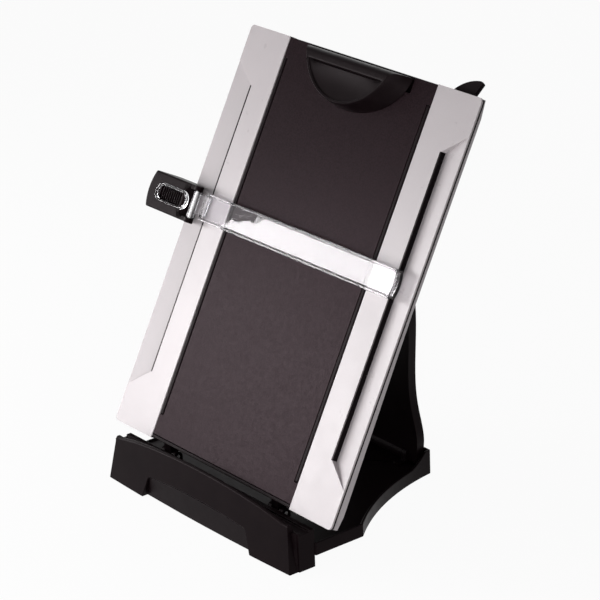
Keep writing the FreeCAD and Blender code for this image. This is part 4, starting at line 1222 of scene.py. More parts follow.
@dataclass
class BaseTray:
    """The waisted tray behind the ledge, with its rim, skirt and horned back wall."""

    front_half: float = 103.2
    waist_half: float = 78.84
    rear_half: float = 61.2
    front: float = 9.2
    side_end: float = 50.0
    waist: float = 86.86
    rear: float = 147.0
    wall: float = 1.8
    skirt: float = 8.8
    under: float = 15.0
    floor: float = 16.6
    rim: float = 18.0
    horn: float = 27.0
    horn_start: float = 124.0
    horn_end: float = 142.0
    horn_curve: float = 1.8
    bay_half: float = 57.2
    bay_rise: float = 0.06
    rear_round: float = 2.2
    front_round: float = 1.0
    foot_post: tuple[float, float, float, float] = (33.0, 134.0, 1.0, 6.5)
    bosses: tuple[tuple[float, float, float, float], ...] = (
        (66.0, 20.0, 2.4, 4.0),
        (66.0, 86.0, 2.4, 4.0),
    )
    bay_edge: float = 0.01
    post_tip: float = 0.4
    flare: tuple[float, ...] = (-0.4, 0.0, 0.15, 0.7, 2.0)
    flare_rise: tuple[float, ...] = (-2.5, -0.8, 0.4)
    rim_ease: float = 0.55
    ease: float = 0.25

    def outline(self) -> Array:
        """The tray from above: straight beside the ledge, then an arc in to the narrow back.

        Returns:
            (N, 2) outline, counter-clockwise.
        """
        start, knee = (self.front_half, self.front), (self.front_half, self.side_end)
        corner = (self.rear_half, self.rear)
        arc = arc_through(knee, (self.waist_half, self.waist), corner, 49)
        right = np.concatenate((np.linspace(start, knee, 9)[:-1], arc))
        back = np.linspace(corner, (-self.rear_half, self.rear), 19)[1:-1]
        left = right[::-1] * (-1, 1)
        outside = self.bay_half + self.bay_edge
        bay = np.array([-outside, -self.bay_half, self.bay_half, outside])
        front = np.stack((bay, np.full_like(bay, self.front)), axis=1)
        ring = np.concatenate((right, back, left, front))
        radii = np.zeros(len(ring))
        radii[[len(right) - 1, len(right) + len(back)]] = self.rear_round
        radii[[0, len(right) + len(back) + len(left) - 1]] = self.front_round
        return distinct(rounded(ring, radii, 5))

    def build(self, shop: Workshop) -> None:
        """Make the tray, its feet's posts and its screw bosses.

        Args:
            shop: The workshop that fits the pieces.
        """
        outline = self.outline()
        y = outline[:, 1]
        share = np.clip((y - self.horn_start) / (self.horn_end - self.horn_start), 0, 1)
        rim = self.rim + (self.horn - self.rim) * share**self.horn_curve
        middle = np.abs(outline[:, 0]) <= self.bay_half + self.bay_edge / 2
        bay = middle & (y < self.front + self.front_round / 2)
        foot = np.where(bay, self.under - self.bay_rise, self.skirt)
        skin = Skin()
        skin.open_tray(outline, self.wall, self.under, self.floor, rim, foot, self.rim_ease)
        for posts in ((self.foot_post,), self.bosses):
            for side in (-1, 1):
                for x, y, low, radius in posts:
                    skin.loft(self.post(side * x, y, low, radius))
        name, node = "tray_moulding", "base_tray"
        shop.dress(skin, name, UPRIGHT, Body.BASE, Slot.BLACK, node, self.ease)

    def post(self, x: float, y: float, low: float, radius: float) -> Array:
        """A post under the floor, turned round its own axis and flared where it meets the floor.

        Args:
            x: Where its axis stands across.
            y: Where its axis stands from front to back.
            low: Where it starts.
            radius: Its radius below the flare.

        Returns:
            (rings, TURN_POINTS, 3) points.
        """
        rise = self.under + np.array(self.flare_rise)
        height = np.concatenate(((low, low + self.post_tip), rise))
        reach = radius + np.array(self.flare)
        return Axes.PLAN.lift(around((x, y), reach), height[:, None])


@dataclass
class Drawer:
    """The shallow drawer under the tray and its flat front in the ledge's mouth."""

    half_width: float = 54.4
    front: float = -5.0
    length: float = 101.0
    low: float = 2.7
    top: float = 13.8
    wall: float = 1.6
    floor: float = 1.4
    corner: float = 3.0
    rim_ease: float = 0.4
    front_ease: float = 0.35

    def build(self, shop: Workshop) -> None:
        """Make the drawer's tray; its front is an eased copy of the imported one.

        Args:
            shop: The workshop that fits the pieces.
        """
        ring = rectangle(-self.half_width, self.half_width, self.front, self.front + self.length)
        skin = Skin()
        outline = distinct(rounded(ring, self.corner, 6))
        floor = self.low + self.floor
        skin.open_tray(outline, self.wall, self.low, floor, self.top, ease=self.rim_ease)
        shop.dress(skin, "drawer_box", UPRIGHT, Body.DRAWER, Slot.BLACK, "drawer_tray")
        shop.ease("drawer_front", Body.DRAWER, Slot.BLACK, self.front_ease)


# Panel


@dataclass
class SilverWings:
    """The two silver wings, each with a sunk facet that slopes out to the panel's edge."""

    inner: float = 77.0
    outer: float = 120.0
    height: float = 296.0
    corner: float = 3.0
    edge: float = 1.5
    slope_start: float = 104.0
    slope_end: float = 117.0
    thickness: float = 6.3
    facet: float = 100.3
    facet_depth: float = 4.4
    facet_low: tuple[float, float] = (27.0, 42.0)
    facet_high: tuple[float, float] = (255.0, 269.6)
    rounds: tuple[float, ...] = (0.45, 0.4, 0.3, 0.35, 0.3, 0.5, 0.8, 0.5)
    inlay: float = 1.2
    inlay_lap: float = 0.15
    inlay_proud: float = 0.04
    strip: float = 2.8
    end_gap: float = 0.5
    skirt_width: float = 2.6
    skirt_gap: float = 0.4
    knee: float = 150.0
    skirt_deep: float = 8.7
    skirt_shallow: float = 5.6
    skirt_round: float = 0.7
    strip_gap: float = 0.2
    strip_round: float = 0.3
    strip_ease: float = 0.35
    inlay_ease: float = 0.12
    turn: float = 0.4
    turn_run: float = 1.5
    turn_gap: float = 0.3
    knee_run: float = 10.0
    skirt_least: float = 0.6
    ease: float = 0.3

    def stations(self) -> Array:
        """Heights of the sections: close at the rounded corners and where the facet turns.

        Returns:
            (N,) heights, rising.
        """
        inset, _ = quarter(self.corner, 6)
        low = self.facet_low
        high = self.facet_high
        return np.concatenate((
            inset,
            np.linspace(low[0] - self.turn, low[0] + self.turn, 3),
            np.linspace(low[0] + self.turn_run, low[1] - self.turn_gap, 8),
            np.linspace(low[1], high[0], 16),
            np.linspace(high[0] + self.turn_gap, high[1] - self.turn_run, 8),
            np.linspace(high[1] - self.turn, high[1] + self.turn, 3),
            self.height - inset[::-1],
        ))

    def sections(self) -> Array:
        """The wing's sections as (heights, points, 3).

        At each height the front runs flat from the pad to the facet's edge, steps down to the
        facet and slopes up to the outer edge; the step's place moves out to that edge below and
        above the facet. The outer edge follows a quarter circle at both ends.

        Returns:
            The points.
        """
        up = self.stations()
        end = np.minimum(up, self.height - up)
        inside = np.clip(self.corner - end, 0, self.corner)
        outer = self.outer - self.corner + np.sqrt(np.maximum(self.corner**2 - inside**2, 0))
        turns = (self.facet_low[0], self.facet_low[1], self.facet_high[0], self.facet_high[1])
        step = np.interp(up, turns, (self.outer, self.facet, self.facet, self.outer))
        step = np.minimum(step, outer)
        sunk = self.facet_depth * (self.outer - step) / (self.outer - self.facet)
        last = self.facet_depth * np.maximum(self.outer - outer, 0) / (self.outer - self.facet)
        last = np.where(step < outer - TINY, np.minimum(last, sunk), 0)
        zero = np.zeros_like(up)
        shift = outer - self.outer
        across = np.stack((
            zero + self.inner, step, step, outer, outer,
            self.slope_end + shift, zero + self.slope_start, zero + self.inner,
        ), axis=1)
        behind = np.stack((
            zero, zero, sunk, last, last + self.edge,
            zero + self.edge, zero + self.thickness, zero + self.thickness,
        ), axis=1)
        section = rounded(np.stack((across, behind), axis=-1), np.array(self.rounds), 4)
        return Axes.PLAN.lift(section, up[:, None])

    def inlay_strip(self) -> Skin:
        """The black inlay on the facet's step.

        Returns:
            Its skin.
        """
        left, right = self.facet - self.inlay, self.facet + self.inlay_lap
        skin = Skin()
        outline = rectangle(left, right, self.facet_low[1], self.facet_high[0])
        skin.slab(outline, -self.inlay_proud, self.facet_depth, self.inlay_ease)
        return skin

    def edge_trim(self) -> Skin:
        """The black strip under the wing's outer edge.

        Returns:
            Its skin.
        """
        edge = self.outer - self.strip_gap
        skin = Skin()
        outline = rectangle(edge - self.strip, edge, self.end_gap, self.height - self.end_gap)
        radii = np.array((self.strip_round, self.corner, self.corner, self.strip_round))
        skin.slab(rounded(outline, radii, 6), self.edge, self.edge * 2, self.strip_ease)
        return skin

    def skirt(self) -> Array:
        """The silver skirt's sections: a rounded bar whose back edge comes forward to the knee.

        Returns:
            (heights, points, 3) rings.
        """
        low, high = self.end_gap, self.height - self.end_gap
        up = np.concatenate((
            np.linspace(low, self.knee, 16),
            np.linspace(self.knee + self.knee_run, high, 12),
        ))
        depths = (self.skirt_deep, self.skirt_shallow, self.skirt_shallow)
        behind = np.interp(up, (low, self.knee, high), depths)
        last = np.clip(np.minimum(up - low, high - up), 0, self.corner)
        outer = self.outer - self.skirt_gap
        right = outer - self.corner + np.sqrt(self.corner**2 - (self.corner - last) ** 2)
        left = np.full_like(up, outer - self.skirt_width)
        front = np.full_like(up, self.edge * 2)
        right = np.maximum(right, left + self.skirt_least)
        across = np.stack((left, right, right, left), axis=1)
        depth = np.stack((front, front, behind, behind), axis=1)
        section = rounded(np.stack((across, depth), axis=-1), self.skirt_round, 4)
        return Axes.PLAN.lift(section, up[:, None])

    def build(self, shop: Workshop) -> None:
        """Make both wings with their inlays, edge strips and skirts.

        Args:
            shop: The workshop that fits the pieces.
        """
        face, skirt = Skin(), Skin()
        face.loft(self.sections())
        skirt.loft(self.skirt())
        pieces = (
            (face, "wing_face_", Slot.SILVER, "wing_", self.ease),
            (self.inlay_strip(), "inlay_strip_", Slot.GLOSS, "wing_inlay_", 0.0),
            (self.edge_trim(), "edge_trim_", Slot.GLOSS, "edge_strip_", 0.0),
            (skirt, "skirt_bar_", Slot.SILVER, "side_skirt_", self.ease),
        )
        for side, mirror in (("right", False), ("left", True)):
            for skin, name, slot, node, ease in pieces:
                shop.dress(skin, name + side, PANEL, Body.PANEL, slot, node + side, ease, mirror)


@dataclass
class CopyArea:
    """The black middle of the panel: grained pad, side rails and the bar under it."""

    wide: float = 76.8
    narrow: float = 72.8
    low: float = 3.2
    rail_low: float = 18.0
    rail_high: float = 281.0
    top: float = 295.5
    front: float = 0.3
    back: float = 1.6
    recess_half: float = 54.2
    recess_low: float = 284.5
    window_half: float = 31.0
    window_low: float = 279.0
    bar_low: float = 0.7
    bar_gap: float = 0.2
    bar_front: float = 0.15
    rail_gaps: tuple[float, float] = (0.35, 0.25)
    rail_crown: tuple[float, float] = (0.7, 0.45)
    rail_ends: tuple[float, ...] = (0.0, 0.4, 1.2)
    rail_dips: tuple[float, ...] = (0.9, 0.35, 0.0)
    rail_ease: float = 0.15
    pad_ease: float = 0.35
    bar_ease: float = 0.4

    def pad_outline(self) -> Array:
        """The pad from the front: wider above and below the rails, open behind the clip.

        Returns:
            (N, 2) outline, counter-clockwise.
        """
        right = [
            (self.wide, self.low),
            (self.wide, self.rail_low),
            (self.narrow, self.rail_low),
            (self.narrow, self.rail_high),
            (self.wide, self.rail_high),
            (self.wide, self.top),
            (self.recess_half, self.top),
            (self.recess_half, self.recess_low),
            (self.window_half, self.recess_low),
            (self.window_half, self.window_low),
        ]
        left = [(-x, up) for x, up in reversed(right)]
        return rounded(np.array(right + left, float), 0.5, 3)

    def rail(self) -> Array:
        """A rail's sections: a bar with a crowned face that dips at both ends.

        Returns:
            (heights, points, 3) rings.
        """
        ends, dips = np.array(self.rail_ends), np.array(self.rail_dips)
        up = np.concatenate((self.rail_low + ends, self.rail_high - ends[::-1]))
        front = np.concatenate((dips, dips[::-1]))
        back = np.full_like(front, self.back)
        left, right = self.narrow + self.rail_gaps[0], self.wide - self.rail_gaps[1]
        inset, drop = self.rail_crown
        places = np.array((left, left + inset, right - inset, right, right, left))
        across = places + 0 * up[:, None]
        depth = np.stack((front + drop, front, front, front + drop, back, back), axis=1)
        section = rounded(np.stack((across, depth), axis=-1), 0.5, 3)
        return Axes.PLAN.lift(section, up[:, None])

    def build(self, shop: Workshop) -> None:
        """Make the pad, both rails and the bar.

        Args:
            shop: The workshop that fits the pieces.
        """
        pad, rail, bar = Skin(), Skin(), Skin()
        pad.slab(self.pad_outline(), self.front, self.back, self.pad_ease)
        shop.dress(pad, "grained_sheet", PANEL, Body.PANEL, Slot.PAD, "centre_pad")
        rail.loft(self.rail())
        for side, mirror in (("right", False), ("left", True)):
            name, node = "rail_" + side, "side_rail_" + side
            shop.dress(rail, name, PANEL, Body.PANEL, Slot.BLACK, node, self.rail_ease, mirror)
        outline = rectangle(-self.wide, self.wide, self.bar_low, self.low - self.bar_gap)
        bar.slab(outline, self.bar_front, self.back, self.bar_ease)
        shop.dress(bar, "pad_foot_bar", PANEL, Body.PANEL, Slot.BLACK, "pad_bar")


@dataclass
class MemoClip:
    """The raised D-shaped clip at the top, hollow behind and dished in front.

    Every level is a D: the lower part of an oval closed by a straight top. A level is given by
    half the oval's width and height, its middle's height, the top's height, and how far the level
    stands off the pad.
    """

    foot: tuple[float, ...] = (53.2, 37.5, 297.5, 294.5, 0.05)
    shoulder: tuple[float, ...] = (49.8, 49.8, 311.3, 293.8, 9.5)
    crown: tuple[float, ...] = (46.4, 46.4, 309.0, 291.7, 12.5)
    rim: tuple[float, ...] = (45.4, 45.4, 308.6, 287.4, 12.5)
    dish: tuple[float, ...] = (44.6, 44.6, 308.4, 286.3, 12.3)
    inner_foot: tuple[float, ...] = (51.0, 35.3, 297.5, 292.3, 0.05)
    inner_roof: tuple[float, ...] = (47.6, 47.6, 311.3, 291.6, 9.3)
    bends: tuple[float, float, float] = (0.45, 0.42, 0.5)
    wall_depth: float = 0.9
    bowl_depth: float = 1.1
    bowl_middle: float = 275.0
    bowl_half: tuple[float, float] = (38.0, 12.5)
    bowl_curve: float = 1.5
    innermost: float = 0.97
    ease: float = 0.3
    wall_rungs: tuple[tuple[float, float, float], ...] = (
        (0.2, 0.15, 0.5),
        (0.5, 0.6, 1.4),
        (0.8, 0.95, 1.7),
        (1.2, 1.0, 1.5),
        (1.7, 1.0, 1.0),
    )
    arc_points: int = 96
    chord_points: int = 48

    def outlines(self, levels: Array) -> Array:
        """The D outlines of (L, 5) levels as (L, N, 2): the arc from left to right, then the top.

        Args:
            levels: (L, 5) levels.

        Returns:
            The outlines.
        """
        half_width, half_height, middle, top = levels[:, :4].T[..., None]
        drop = np.arcsin((middle - top) / half_height)
        turn = drop - math.pi + (math.pi - 2 * drop) * np.linspace(0, 1, self.arc_points)
        arc = np.stack((half_width * np.cos(turn), middle + half_height * np.sin(turn)), axis=-1)
        share = np.linspace(0, 1, self.chord_points + 2)[1:-1, None]
        chord = arc[:, -1:] * (1 - share) + arc[:, :1] * share
        return np.concatenate((arc, chord), axis=1)

    def shell(self) -> Array:
        """Rings from inside the foot over the flank, shoulder and crown to the dish's rim.

        Returns:
            (rings, N, 3) points.
        """
        keys = np.array((self.foot, self.shoulder, self.crown, self.rim, self.dish))
        inside = np.array((self.inner_roof, self.inner_foot))
        levels = np.concatenate((inside, softened(keys, self.bends, 6)))
        return Axes.FACE.lift(self.outlines(levels), -levels[:, 4:])

    def basin(self, outline: Array) -> Array:
        """Depth of the dish's floor at (..., 2) points: a paraboloid on a flat ground."""
        across = outline[..., 0] / self.bowl_half[0]
        up = (outline[..., 1] - self.bowl_middle) / self.bowl_half[1]
        bowl = np.clip(1 - across**2 - up**2, 0, 1) ** self.bowl_curve
        return self.wall_depth + self.bowl_depth * bowl

    def floor(self) -> Array:
        """Rings from the dish's rim down its wall and over its floor to the middle.

        A rung of the wall is given by how far it lies inside the rim and by the share of the
        floor's depth that it has under the arc and under the straight top, where a groove runs.

        Returns:
            (rings, N, 3) points.
        """
        edge = self.outlines(np.array([self.dish]))[0]
        shift = inward(edge)
        on_chord = np.arange(len(edge)) >= self.arc_points
        rings = []
        for inset, deep, groove in self.wall_rungs:
            outline = edge + inset * shift
            depth = self.basin(outline) * np.where(on_chord, groove, deep)
            rings.append(Axes.FACE.lift(outline, depth - self.crown[4]))
        middle = np.array((0.0, self.bowl_middle))
        for share in np.linspace(0.0, self.innermost, 15)[1:]:
            inner = outline + (middle - outline) * share
            rings.append(Axes.FACE.lift(inner, self.basin(inner) - self.crown[4]))
        return np.array(rings)

    def build(self, shop: Workshop) -> None:
        """Make the clip's shell."""
        skin = Skin()
        skin.loft(np.concatenate((self.shell(), self.floor())))
        shop.dress(skin, "clip_shell", PANEL, Body.CLIP, Slot.BLACK, "clip_jaw", self.ease)


@dataclass
class LineGuide:
    """The black slider on the left edge, the clear loop on it and the clear bar it carries."""

    middle: float = 162.85
    half_height: float = 13.35
    left: float = -154.8
    bulge: float = 2.8
    right: float = -110.0
    face_right: float = -116.5
    front: float = 10.0
    panel_side: float = -120.6
    side_front: float = -4.0
    side_ease: float = 0.6
    corner_left: float = 2.0
    corner_right: float = 0.8
    flank: tuple[float, float] = (0.3, 0.7)
    flank_inset: float = 0.4
    front_ease: float = 1.4
    slot_round: float = 1.2
    back: float = 9.2
    slot: tuple[float, float] = (-143.0, -119.6)
    slot_half: float = 4.9
    rib_half: float = 4.6
    slot_depth: float = 1.6
    slot_rungs: tuple[tuple[float, float], ...] = (
        (-0.35, 0.0),
        (-0.1, 0.1),
        (0.0, 0.35),
        (0.05, 1.4),
        (0.25, 1.6),
    )
    ribs: int = 9
    rib_width: float = 0.62
    rib_sink: float = 0.35
    rib_foot: float = 0.4
    rib_ease: float = 0.3
    rib_rounds: tuple[float, ...] = (0.6, 0.6, 0.1, 0.1)
    ear_radius: float = 3.3
    ear_height: float = 3.5
    ear_ease: float = 0.4
    arm_root: float = 3.0
    arm_depths: tuple[float, float] = (-10.0, -4.7)
    arm_gap: float = 0.1
    loop: tuple[float, float] = (-147.0, -110.6)
    loop_half: float = 6.8
    band: float = 1.8
    band_rounds: tuple[float, ...] = (0.2, 0.2, 0.75, 0.75)
    loop_front: float = 12.2
    bar: tuple[float, float] = (-103.0, 107.5)
    bar_up: tuple[float, float] = (154.0, 174.2)
    bar_back: float = 1.0
    bar_web: float = 2.8
    bar_rim: float = 7.2
    bar_wall: float = 1.8
    bar_bow: float = 2.0
    bar_corner: float = 2.6
    bar_ramp: float = 5.5
    bar_ease: float = 0.6
    bar_end_round: float = 0.6
    bar_step: float = 0.15
    bar_near: tuple[float, float] = (0.5, 7.0)
    bar_lead: float = 0.4
    bar_chamfer: float = 0.3
    bar_least: float = 0.4
    web_fillet: tuple[float, float, float] = (0.1, 0.4, 0.25)
    axis: tuple[float, float] = (-106.4, -8.0)
    barrel_radius: float = 2.5
    barrel_half: float = 9.5
    barrel_ease: float = 0.7
    link: tuple[tuple[float, float], ...] = (
        (-101.2, -4.6),
        (-95.5, -2.8),
        (-98.5, -1.0),
        (-103.0, -1.9),
        (-105.1, -6.6),
        (-106.4, -9.4),
    )
    link_rounds: tuple[float, ...] = (0.5, 6.0, 1.0, 1.5, 1.5, 0.5)
    link_up: tuple[float, float] = (6.0, 8.6)
    link_ease: float = 0.5

    def outline(self, right: float) -> Array:
        """The slider from the front: a bulged left end, rounded corners and a straight right.

        Args:
            right: Where its right side stands.

        Returns:
            (N, 2) outline.
        """
        low, high = self.middle - self.half_height, self.middle + self.half_height
        furthest = (self.left - self.bulge, self.middle)
        bulge = arc_through((self.left, high), furthest, (self.left, low), 17)
        ring = np.concatenate((bulge, np.array([(right, low), (right, high)])))
        radii = np.zeros(len(ring))
        radii[[0, len(bulge) - 1]] = self.corner_left
        radii[len(bulge):] = self.corner_right
        return distinct(rounded(ring, radii, 5))

    def slider(self) -> Skin:
        """The slider's body: front block, block outside the panel's edge, ribs and ears.

        The front block's rings climb its flank, whose right side slopes in, round its front rim
        and go down into the slot, of which a rung gives the shift inwards and the depth.

        Returns:
            Its skin.
        """
        skin = Skin()
        low, high = self.middle - self.slot_half, self.middle + self.slot_half
        slot = distinct(rounded(rectangle(*self.slot, low, high), self.slot_round, 5))
        outline, slot = paired(self.outline(self.right), slot)
        shift = inward(outline)
        inset, drop = quarter(self.front_ease, 5)
        sloped = np.clip(outline[:, 0] - (self.right - 1.0), 0, 1)[:, None] * (1.0, 0.0)
        rings, heights = [outline + self.flank_inset * shift, outline], list(self.flank)
        foot = self.flank[1]
        for i, d in zip(inset, drop):
            share = np.clip((self.front - d - foot) / (self.front - foot), 0, 1)
            rings.append(outline + i * shift - sloped * (self.right - self.face_right) * share)
            heights.append(self.front - d)
        slot_shift = inward(slot)
        for i, depth in self.slot_rungs:
            rings.append(slot + i * slot_shift)
            heights.append(self.front - depth)
        skin.loft(Axes.FACE.lift(np.array(rings), -np.array(heights)[:, None]))
        skin.slab(self.outline(self.panel_side), self.side_front, self.back, self.side_ease)
        low, high = self.middle - self.rib_half, self.middle + self.rib_half
        for x in np.linspace(*self.slot, self.ribs + 2)[1:-1]:
            skin.slab(self.rib(x), low, high, self.rib_ease, Axes.PLAN)
        arm = rectangle(self.right - self.arm_root, self.axis[0], *self.arm_depths)
        low, high = self.middle - self.half_height, self.middle + self.half_height
        for foot in (low, high - self.ear_height):
            top = foot + self.ear_height
            skin.loft(self.turned(self.ear_radius, foot, top, self.ear_ease))
            skin.slab(arm, foot + self.arm_gap, top - self.arm_gap, self.ear_ease, Axes.PLAN)
        return skin

    def rib(self, x: float) -> Array:
        """A rib's profile at a place across the slot: a bar with rounded edges, on the slot's floor.

        Args:
            x: Its place.

        Returns:
            (N, 2) profile.
        """
        top = self.rib_sink - self.front
        foot = self.slot_depth + self.rib_foot - self.front
        profile = rectangle(x - self.rib_width, x + self.rib_width, top, foot)
        return rounded(profile, np.array(self.rib_rounds), 4)

    def turned(self, radius: float, low: float, high: float, ease: float) -> Array:
        """A barrel turned round the bar's axis, with rounded rims.

        Args:
            radius: Radius of the barrel.
            low: Where it starts.
            high: Where it ends.
            ease: Radius of its rounded rims.

        Returns:
            (rings, TURN_POINTS, 3) points.
        """
        inset, drop = quarter(ease)
        reach = radius - np.concatenate((inset[::-1], inset))
        height = np.concatenate((low + drop[::-1], high - drop))
        return Axes.PLAN.lift(around(self.axis, reach), height[:, None])

    def clear_loop(self) -> Skin:
        """The loop: a rounded section carried round a path with half-circle ends.

        Returns:
            Its skin.
        """
        radius = self.loop_half - self.band / 2
        left, right = self.loop[0] + self.loop_half, self.loop[1] - self.loop_half
        turn = np.linspace(-math.pi / 2, math.pi / 2, 33)
        cap = np.stack((np.cos(turn), np.sin(turn)), axis=1)
        ends = (cap * radius + (right, self.middle), -cap * radius + (left, self.middle))
        path = np.concatenate(ends)
        depth = self.loop_front - self.front
        section = rectangle(-self.band / 2, self.band / 2, 0, depth)
        section = rounded(section, np.array(self.band_rounds), 5)
        rings = path[:, None] - section[:, :1] * inward(distinct(path))[:, None]
        skin = Skin()
        skin.tube(Axes.FACE.lift(rings, -(self.front + section[:, 1])[None, :]))
        return skin

    def bar_outline(self) -> Array:
        """The bar from the front, its right end bowed out between rounded corners.

        Across that end, a place lies back from the bar's tip by the bow times the square of its
        share of the way out, and by a circle's sagitta within a corner's radius of the edge.

        Returns:
            (N, 2) outline.
        """
        left, tip = self.bar
        low, high = self.bar_up
        middle, half = (low + high) / 2, (high - low) / 2
        near = left + np.linspace(*self.bar_near, 12)
        out = half * np.sin(np.linspace(-math.pi / 2, math.pi / 2, 33))
        over = np.clip(np.abs(out) - half + self.bar_corner, 0, self.bar_corner)
        sagitta = self.bar_corner - np.sqrt(np.maximum(self.bar_corner**2 - over**2, 0))
        end = np.stack((tip - self.bar_bow * (out / half) ** 2 - sagitta, middle + out), axis=1)
        lower = np.stack((near, np.full_like(near, low)), axis=1)
        upper = np.stack((near[::-1], np.full_like(near, high)), axis=1)
        ring = np.concatenate(([(left, low)], lower, end, upper, [(left, high)]))
        radii = np.zeros(len(ring))
        radii[[0, -1]] = self.bar_end_round
        return distinct(rounded(ring, radii, 4))

    def clear_bar(self) -> Skin:
        """The bar: a shallow trough whose rim falls to the web at its left end, and its barrel.

        Returns:
            The skin of both.
        """
        outline = self.bar_outline()
        share = np.clip((outline[:, 0] - self.bar[0] - self.bar_lead) / self.bar_ramp, 0, 1)
        least = self.bar_web + self.bar_step
        rim = least + (self.bar_rim - least) * share * share * (3 - 2 * share)
        inset, drop = quarter(self.bar_ease, 5)
        back, web, wall = self.bar_back, self.bar_web, self.bar_wall
        chamfer = self.bar_chamfer
        near, far, rise = self.web_fillet
        insets = ((chamfer, 0.0), inset, wall - inset[::-1], (wall + near, wall + far))
        flat = np.array((back, back + chamfer, web + rise, web))[:, None] + 0 * rim
        heights = (
            flat[:2],
            np.maximum(rim - drop[:, None], back + self.bar_least),
            np.maximum(rim - drop[::-1, None], web),
            flat[2:],
        )
        rings = outline + np.concatenate(insets)[:, None, None] * inward(outline)
        skin = Skin()
        skin.loft(Axes.FACE.lift(rings, -np.minimum(np.concatenate(heights), rim)))
        low, high = self.middle - self.barrel_half, self.middle + self.barrel_half
        skin.loft(self.turned(self.barrel_radius, low, high, self.barrel_ease))
        link = rounded(np.array(self.link), np.array(self.link_rounds), 5)[::-1]
        low, high = self.middle - self.link_up[0], self.middle + self.link_up[1]
        skin.slab(link, low, high, self.link_ease, Axes.PLAN)
        return skin

    def build(self, shop: Workshop) -> None:
        """Make the slider, its loop and the bar.

        Args:
            shop: The workshop that fits the pieces.
        """
        for skin, name, body, slot, node in (
            (self.slider(), "slider_block", Body.SLIDER, Slot.BLACK, "guide_slider"),
            (self.clear_loop(), "clear_loop", Body.SLIDER, Slot.CLEAR, "guide_loop"),
            (self.clear_bar(), "clear_bar", Body.GUIDE, Slot.CLEAR, "guide_bar"),
        ):
            shop.dress(skin, name, PANEL, body, slot, node)


@dataclass
class MemoBoard:
    """The white board behind the panel, its grey edge cap and its finger tab."""

    left: float = -98.0
    right: float = 110.0
    low: float = 13.3
    high: float = 296.0
    front: float = 8.9
    back: float = 11.3
    corner: float = 3.0
    cap: float = 1.6
    cap_lap: float = 0.3
    cap_ends: tuple[float, float] = (3.0, 15.0)
    tab: tuple[float, float] = (83.0, 107.3)
    tab_top: float = 306.6
    tab_shoulder: float = 296.5
    tab_root: float = 284.0
    tab_crest: tuple[float, float] = (93.0, 303.6)
    tab_neck: float = 3.6
    tab_tip: tuple[float, float] = (3.3, 1.5)
    tab_start: float = 1.0
    tab_rounds: tuple[float, ...] = (2.5, 0.8, 1.0, 1.5, 1.5)
    tab_front: float = 8.6
    tab_back: float = 11.6
    tab_ease: float = 0.9
    board_ease: float = 0.4
    cap_ease: float = 0.5

    def tab_outline(self) -> Array:
        """The tab from the front: a fin whose crest runs up to a blunt tip on the right.

        Returns:
            (N, 2) outline.
        """
        left, right = self.tab
        tip = (right - self.tab_tip[0], self.tab_top)
        crest = arc_through((left, self.tab_shoulder), self.tab_crest, tip, 15)
        rest = np.array([
            (right, self.tab_top - self.tab_tip[1]),
            (right - self.tab_neck, self.tab_shoulder),
            (right - self.tab_neck, self.tab_root),
            (left, self.tab_root),
        ])
        ring = np.concatenate((crest, rest))
        radii = np.zeros(len(ring))
        radii[0] = self.tab_start
        radii[-len(self.tab_rounds):] = self.tab_rounds
        return distinct(rounded(ring, radii, 5))[::-1]

    def build(self, shop: Workshop) -> None:
        """Make the board, its cap and its tab.

        Args:
            shop: The workshop that fits the pieces.
        """
        board, cap, tab = Skin(), Skin(), Skin()
        outline = rectangle(self.left, self.right, self.low, self.high)
        board.slab(rounded(outline, self.corner, 6), self.front, self.back, self.board_ease)
        low, high = self.low + self.cap_ends[0], self.high - self.cap_ends[1]
        outline = rounded(rectangle(self.right, self.right + self.cap, low, high), 0.5, 4)
        cap.slab(outline, self.front - self.cap_lap, self.back + self.cap_lap, self.cap_ease)
        tab.slab(self.tab_outline(), self.tab_front, self.tab_back, self.tab_ease)
        for skin, name, slot, node in (
            (board, "white_board", Slot.WHITE, "memo_board"),
            (cap, "board_edge_cap", Slot.GREY, "memo_edge"),
            (tab, "finger_tab", Slot.BLACK, "memo_tab"),
        ):
            shop.dress(skin, name, PANEL, Body.MEMO, slot, node)


def dress_hardware(shop: Workshop) -> None:
    """Ease the moulded back parts and give the small hardware its finishes.

    Args:
        shop: The workshop that fits the pieces.
    """
    for node, body, slot, width in (
        ("back_cover", Body.PANEL, Slot.BLACK, 0.5),
        ("easel_leg", Body.LEG, Slot.BLACK, 0.6),
        ("slider_gib", Body.SLIDER, Slot.BLACK, 0.4),
        ("leg_rack_left", Body.PANEL, Slot.BLACK, 0.3),
        ("drawer_runner_left", Body.BASE, Slot.BLACK, 0.3),
        ("leg_rack_right", Body.PANEL, Slot.BLACK, 0.3),
        ("drawer_runner_right", Body.BASE, Slot.BLACK, 0.3),
        ("bottom_plate", Body.BASE, Slot.BLACK, 0.3),
        ("panel_hinge_brackets", Body.BASE, Slot.BLACK, 0.3),
        ("leg_brackets", Body.BASE, Slot.BLACK, 0.3),
        ("front_foot", Body.BASE, Slot.RUBBER, 0.3),
        ("rear_feet", Body.BASE, Slot.RUBBER, 0.3),
        ("leg_cross_bar", Body.LEG, Slot.STEEL, 0.4),
    ):
        shop.ease(node, body, slot, width)
    shop.polish(Slot.BLACK, "panel_core")
    shop.polish(Slot.RUBBER, "clip_grip")
    shop.polish(Slot.STEEL, "base_screws", "cover_screws", "gib_screws")
    shop.polish(Slot.STEEL, "clip_pin", "clip_spring", "guide_pin")
    shop.polish(Slot.STEEL, "leg_pivot_pin", "panel_hinge_pins")


# Studio


